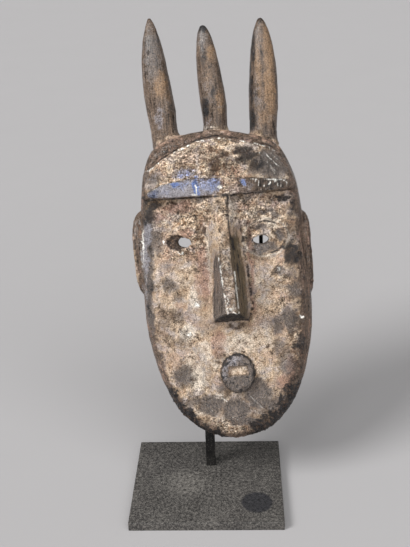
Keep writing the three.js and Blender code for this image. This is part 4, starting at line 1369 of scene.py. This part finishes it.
class MASK_OT_stage(bpy.types.Operator):
    """Lay the pale floor, hang the lights and place the camera"""

    bl_idname = "mask.stage"
    bl_label = "Set Stage"
    bl_options = {"REGISTER", "UNDO"}

    def execute(self, context):
        settings = context.scene.stage_settings
        bm = bmesh.new()
        bmesh.ops.create_grid(bm, x_segments=1, y_segments=1, size=FLOOR_SIZE)
        floor = bpy.data.objects.new("floor", finished_mesh(bm, "floor"))
        context.scene.collection.objects.link(floor)
        material, nodes, shader = new_material("pale_floor")
        clouds = nodes.noise(nodes.add("ShaderNodeTexCoord").outputs["Object"], 6.0, 3.0)
        darker = [0.97 * part for part in settings.floor_colour]
        nodes.put(shader.inputs["Base Color"], nodes.mix(clouds, darker, settings.floor_colour))
        shader.inputs["Roughness"].default_value = 0.8
        floor.data.materials.append(material)
        add_sun(context, "key", settings.key, KEY_FROM, KEY_SPREAD)
        add_sun(context, "fill", settings.fill, FILL_FROM, FILL_SPREAD)
        add_sky(context, settings.sky)
        add_camera(context, settings)
        return {"FINISHED"}


def add_sun(context, name, energy, towards, spread):
    """A soft distant light from a direction."""
    light = bpy.data.lights.new(name, "SUN")
    light.energy = energy
    light.angle = math.radians(spread)
    lamp = bpy.data.objects.new(name, light)
    lamp.rotation_euler = Vector(towards).to_track_quat("Z", "Y").to_euler()
    context.scene.collection.objects.link(lamp)


def add_sky(context, energy):
    """Even light from all round."""
    world = bpy.data.worlds.new("studio")
    world.use_nodes = True
    background = world.node_tree.nodes["Background"]
    background.inputs["Color"].default_value = opaque(SKY_TONE)
    background.inputs["Strength"].default_value = energy
    context.scene.world = world


def add_camera(context, settings):
    """The camera at its eye point, looking down a little from the right."""
    data = bpy.data.cameras.new("camera")
    data.sensor_fit = "VERTICAL"
    data.sensor_height = SENSOR_HEIGHT
    data.lens = settings.lens
    camera = bpy.data.objects.new("camera", data)
    level = Matrix.Rotation(math.pi / 2 - settings.pitch, 4, "X")
    turned = Matrix.Rotation(settings.yaw, 4, "Z") @ level @ Matrix.Rotation(settings.roll, 4, "Z")
    camera.matrix_world = Matrix.Translation(settings.eye) @ turned
    context.scene.collection.objects.link(camera)
    context.scene.camera = camera


class MASK_PT_panel(bpy.types.Panel):
    """The mask's operators and settings"""

    bl_idname = "MASK_PT_panel"
    bl_label = "Horned Mask"
    bl_space_type = "VIEW_3D"
    bl_region_type = "UI"
    bl_category = "Mask"

    def draw(self, context):
        layout = self.layout
        for operator in (MASK_OT_carve, MASK_OT_plate, MASK_OT_bars, MASK_OT_stage):
            layout.operator(operator.bl_idname)
        for group in SETTINGS:
            box = layout.box()
            settings = getattr(context.scene, group)
            for name in settings.bl_rna.properties.keys():
                if name not in ("rna_type", "name"):
                    box.prop(settings, name)


SETTINGS = {
    "mask_settings": MaskSettings,
    "paint_settings": PaintSettings,
    "stand_settings": StandSettings,
    "stage_settings": StageSettings,
}
CLASSES = (
    *SETTINGS.values(), MASK_OT_carve, MASK_OT_plate, MASK_OT_bars, MASK_OT_stage, MASK_PT_panel,
)


def register():
    for cls in CLASSES:
        bpy.utils.register_class(cls)
    for name, group in SETTINGS.items():
        setattr(bpy.types.Scene, name, PointerProperty(type=group))


def unregister():
    for name in SETTINGS:
        delattr(bpy.types.Scene, name)
    for cls in reversed(CLASSES):
        bpy.utils.unregister_class(cls)


def main():
    register()
    bpy.ops.mask.stage()
    bpy.ops.mask.plate()
    bpy.ops.mask.bars()
    bpy.ops.mask.carve()
    bpy.context.scene.view_settings.view_transform = "Standard"


if __name__ == "__main__":
    main()
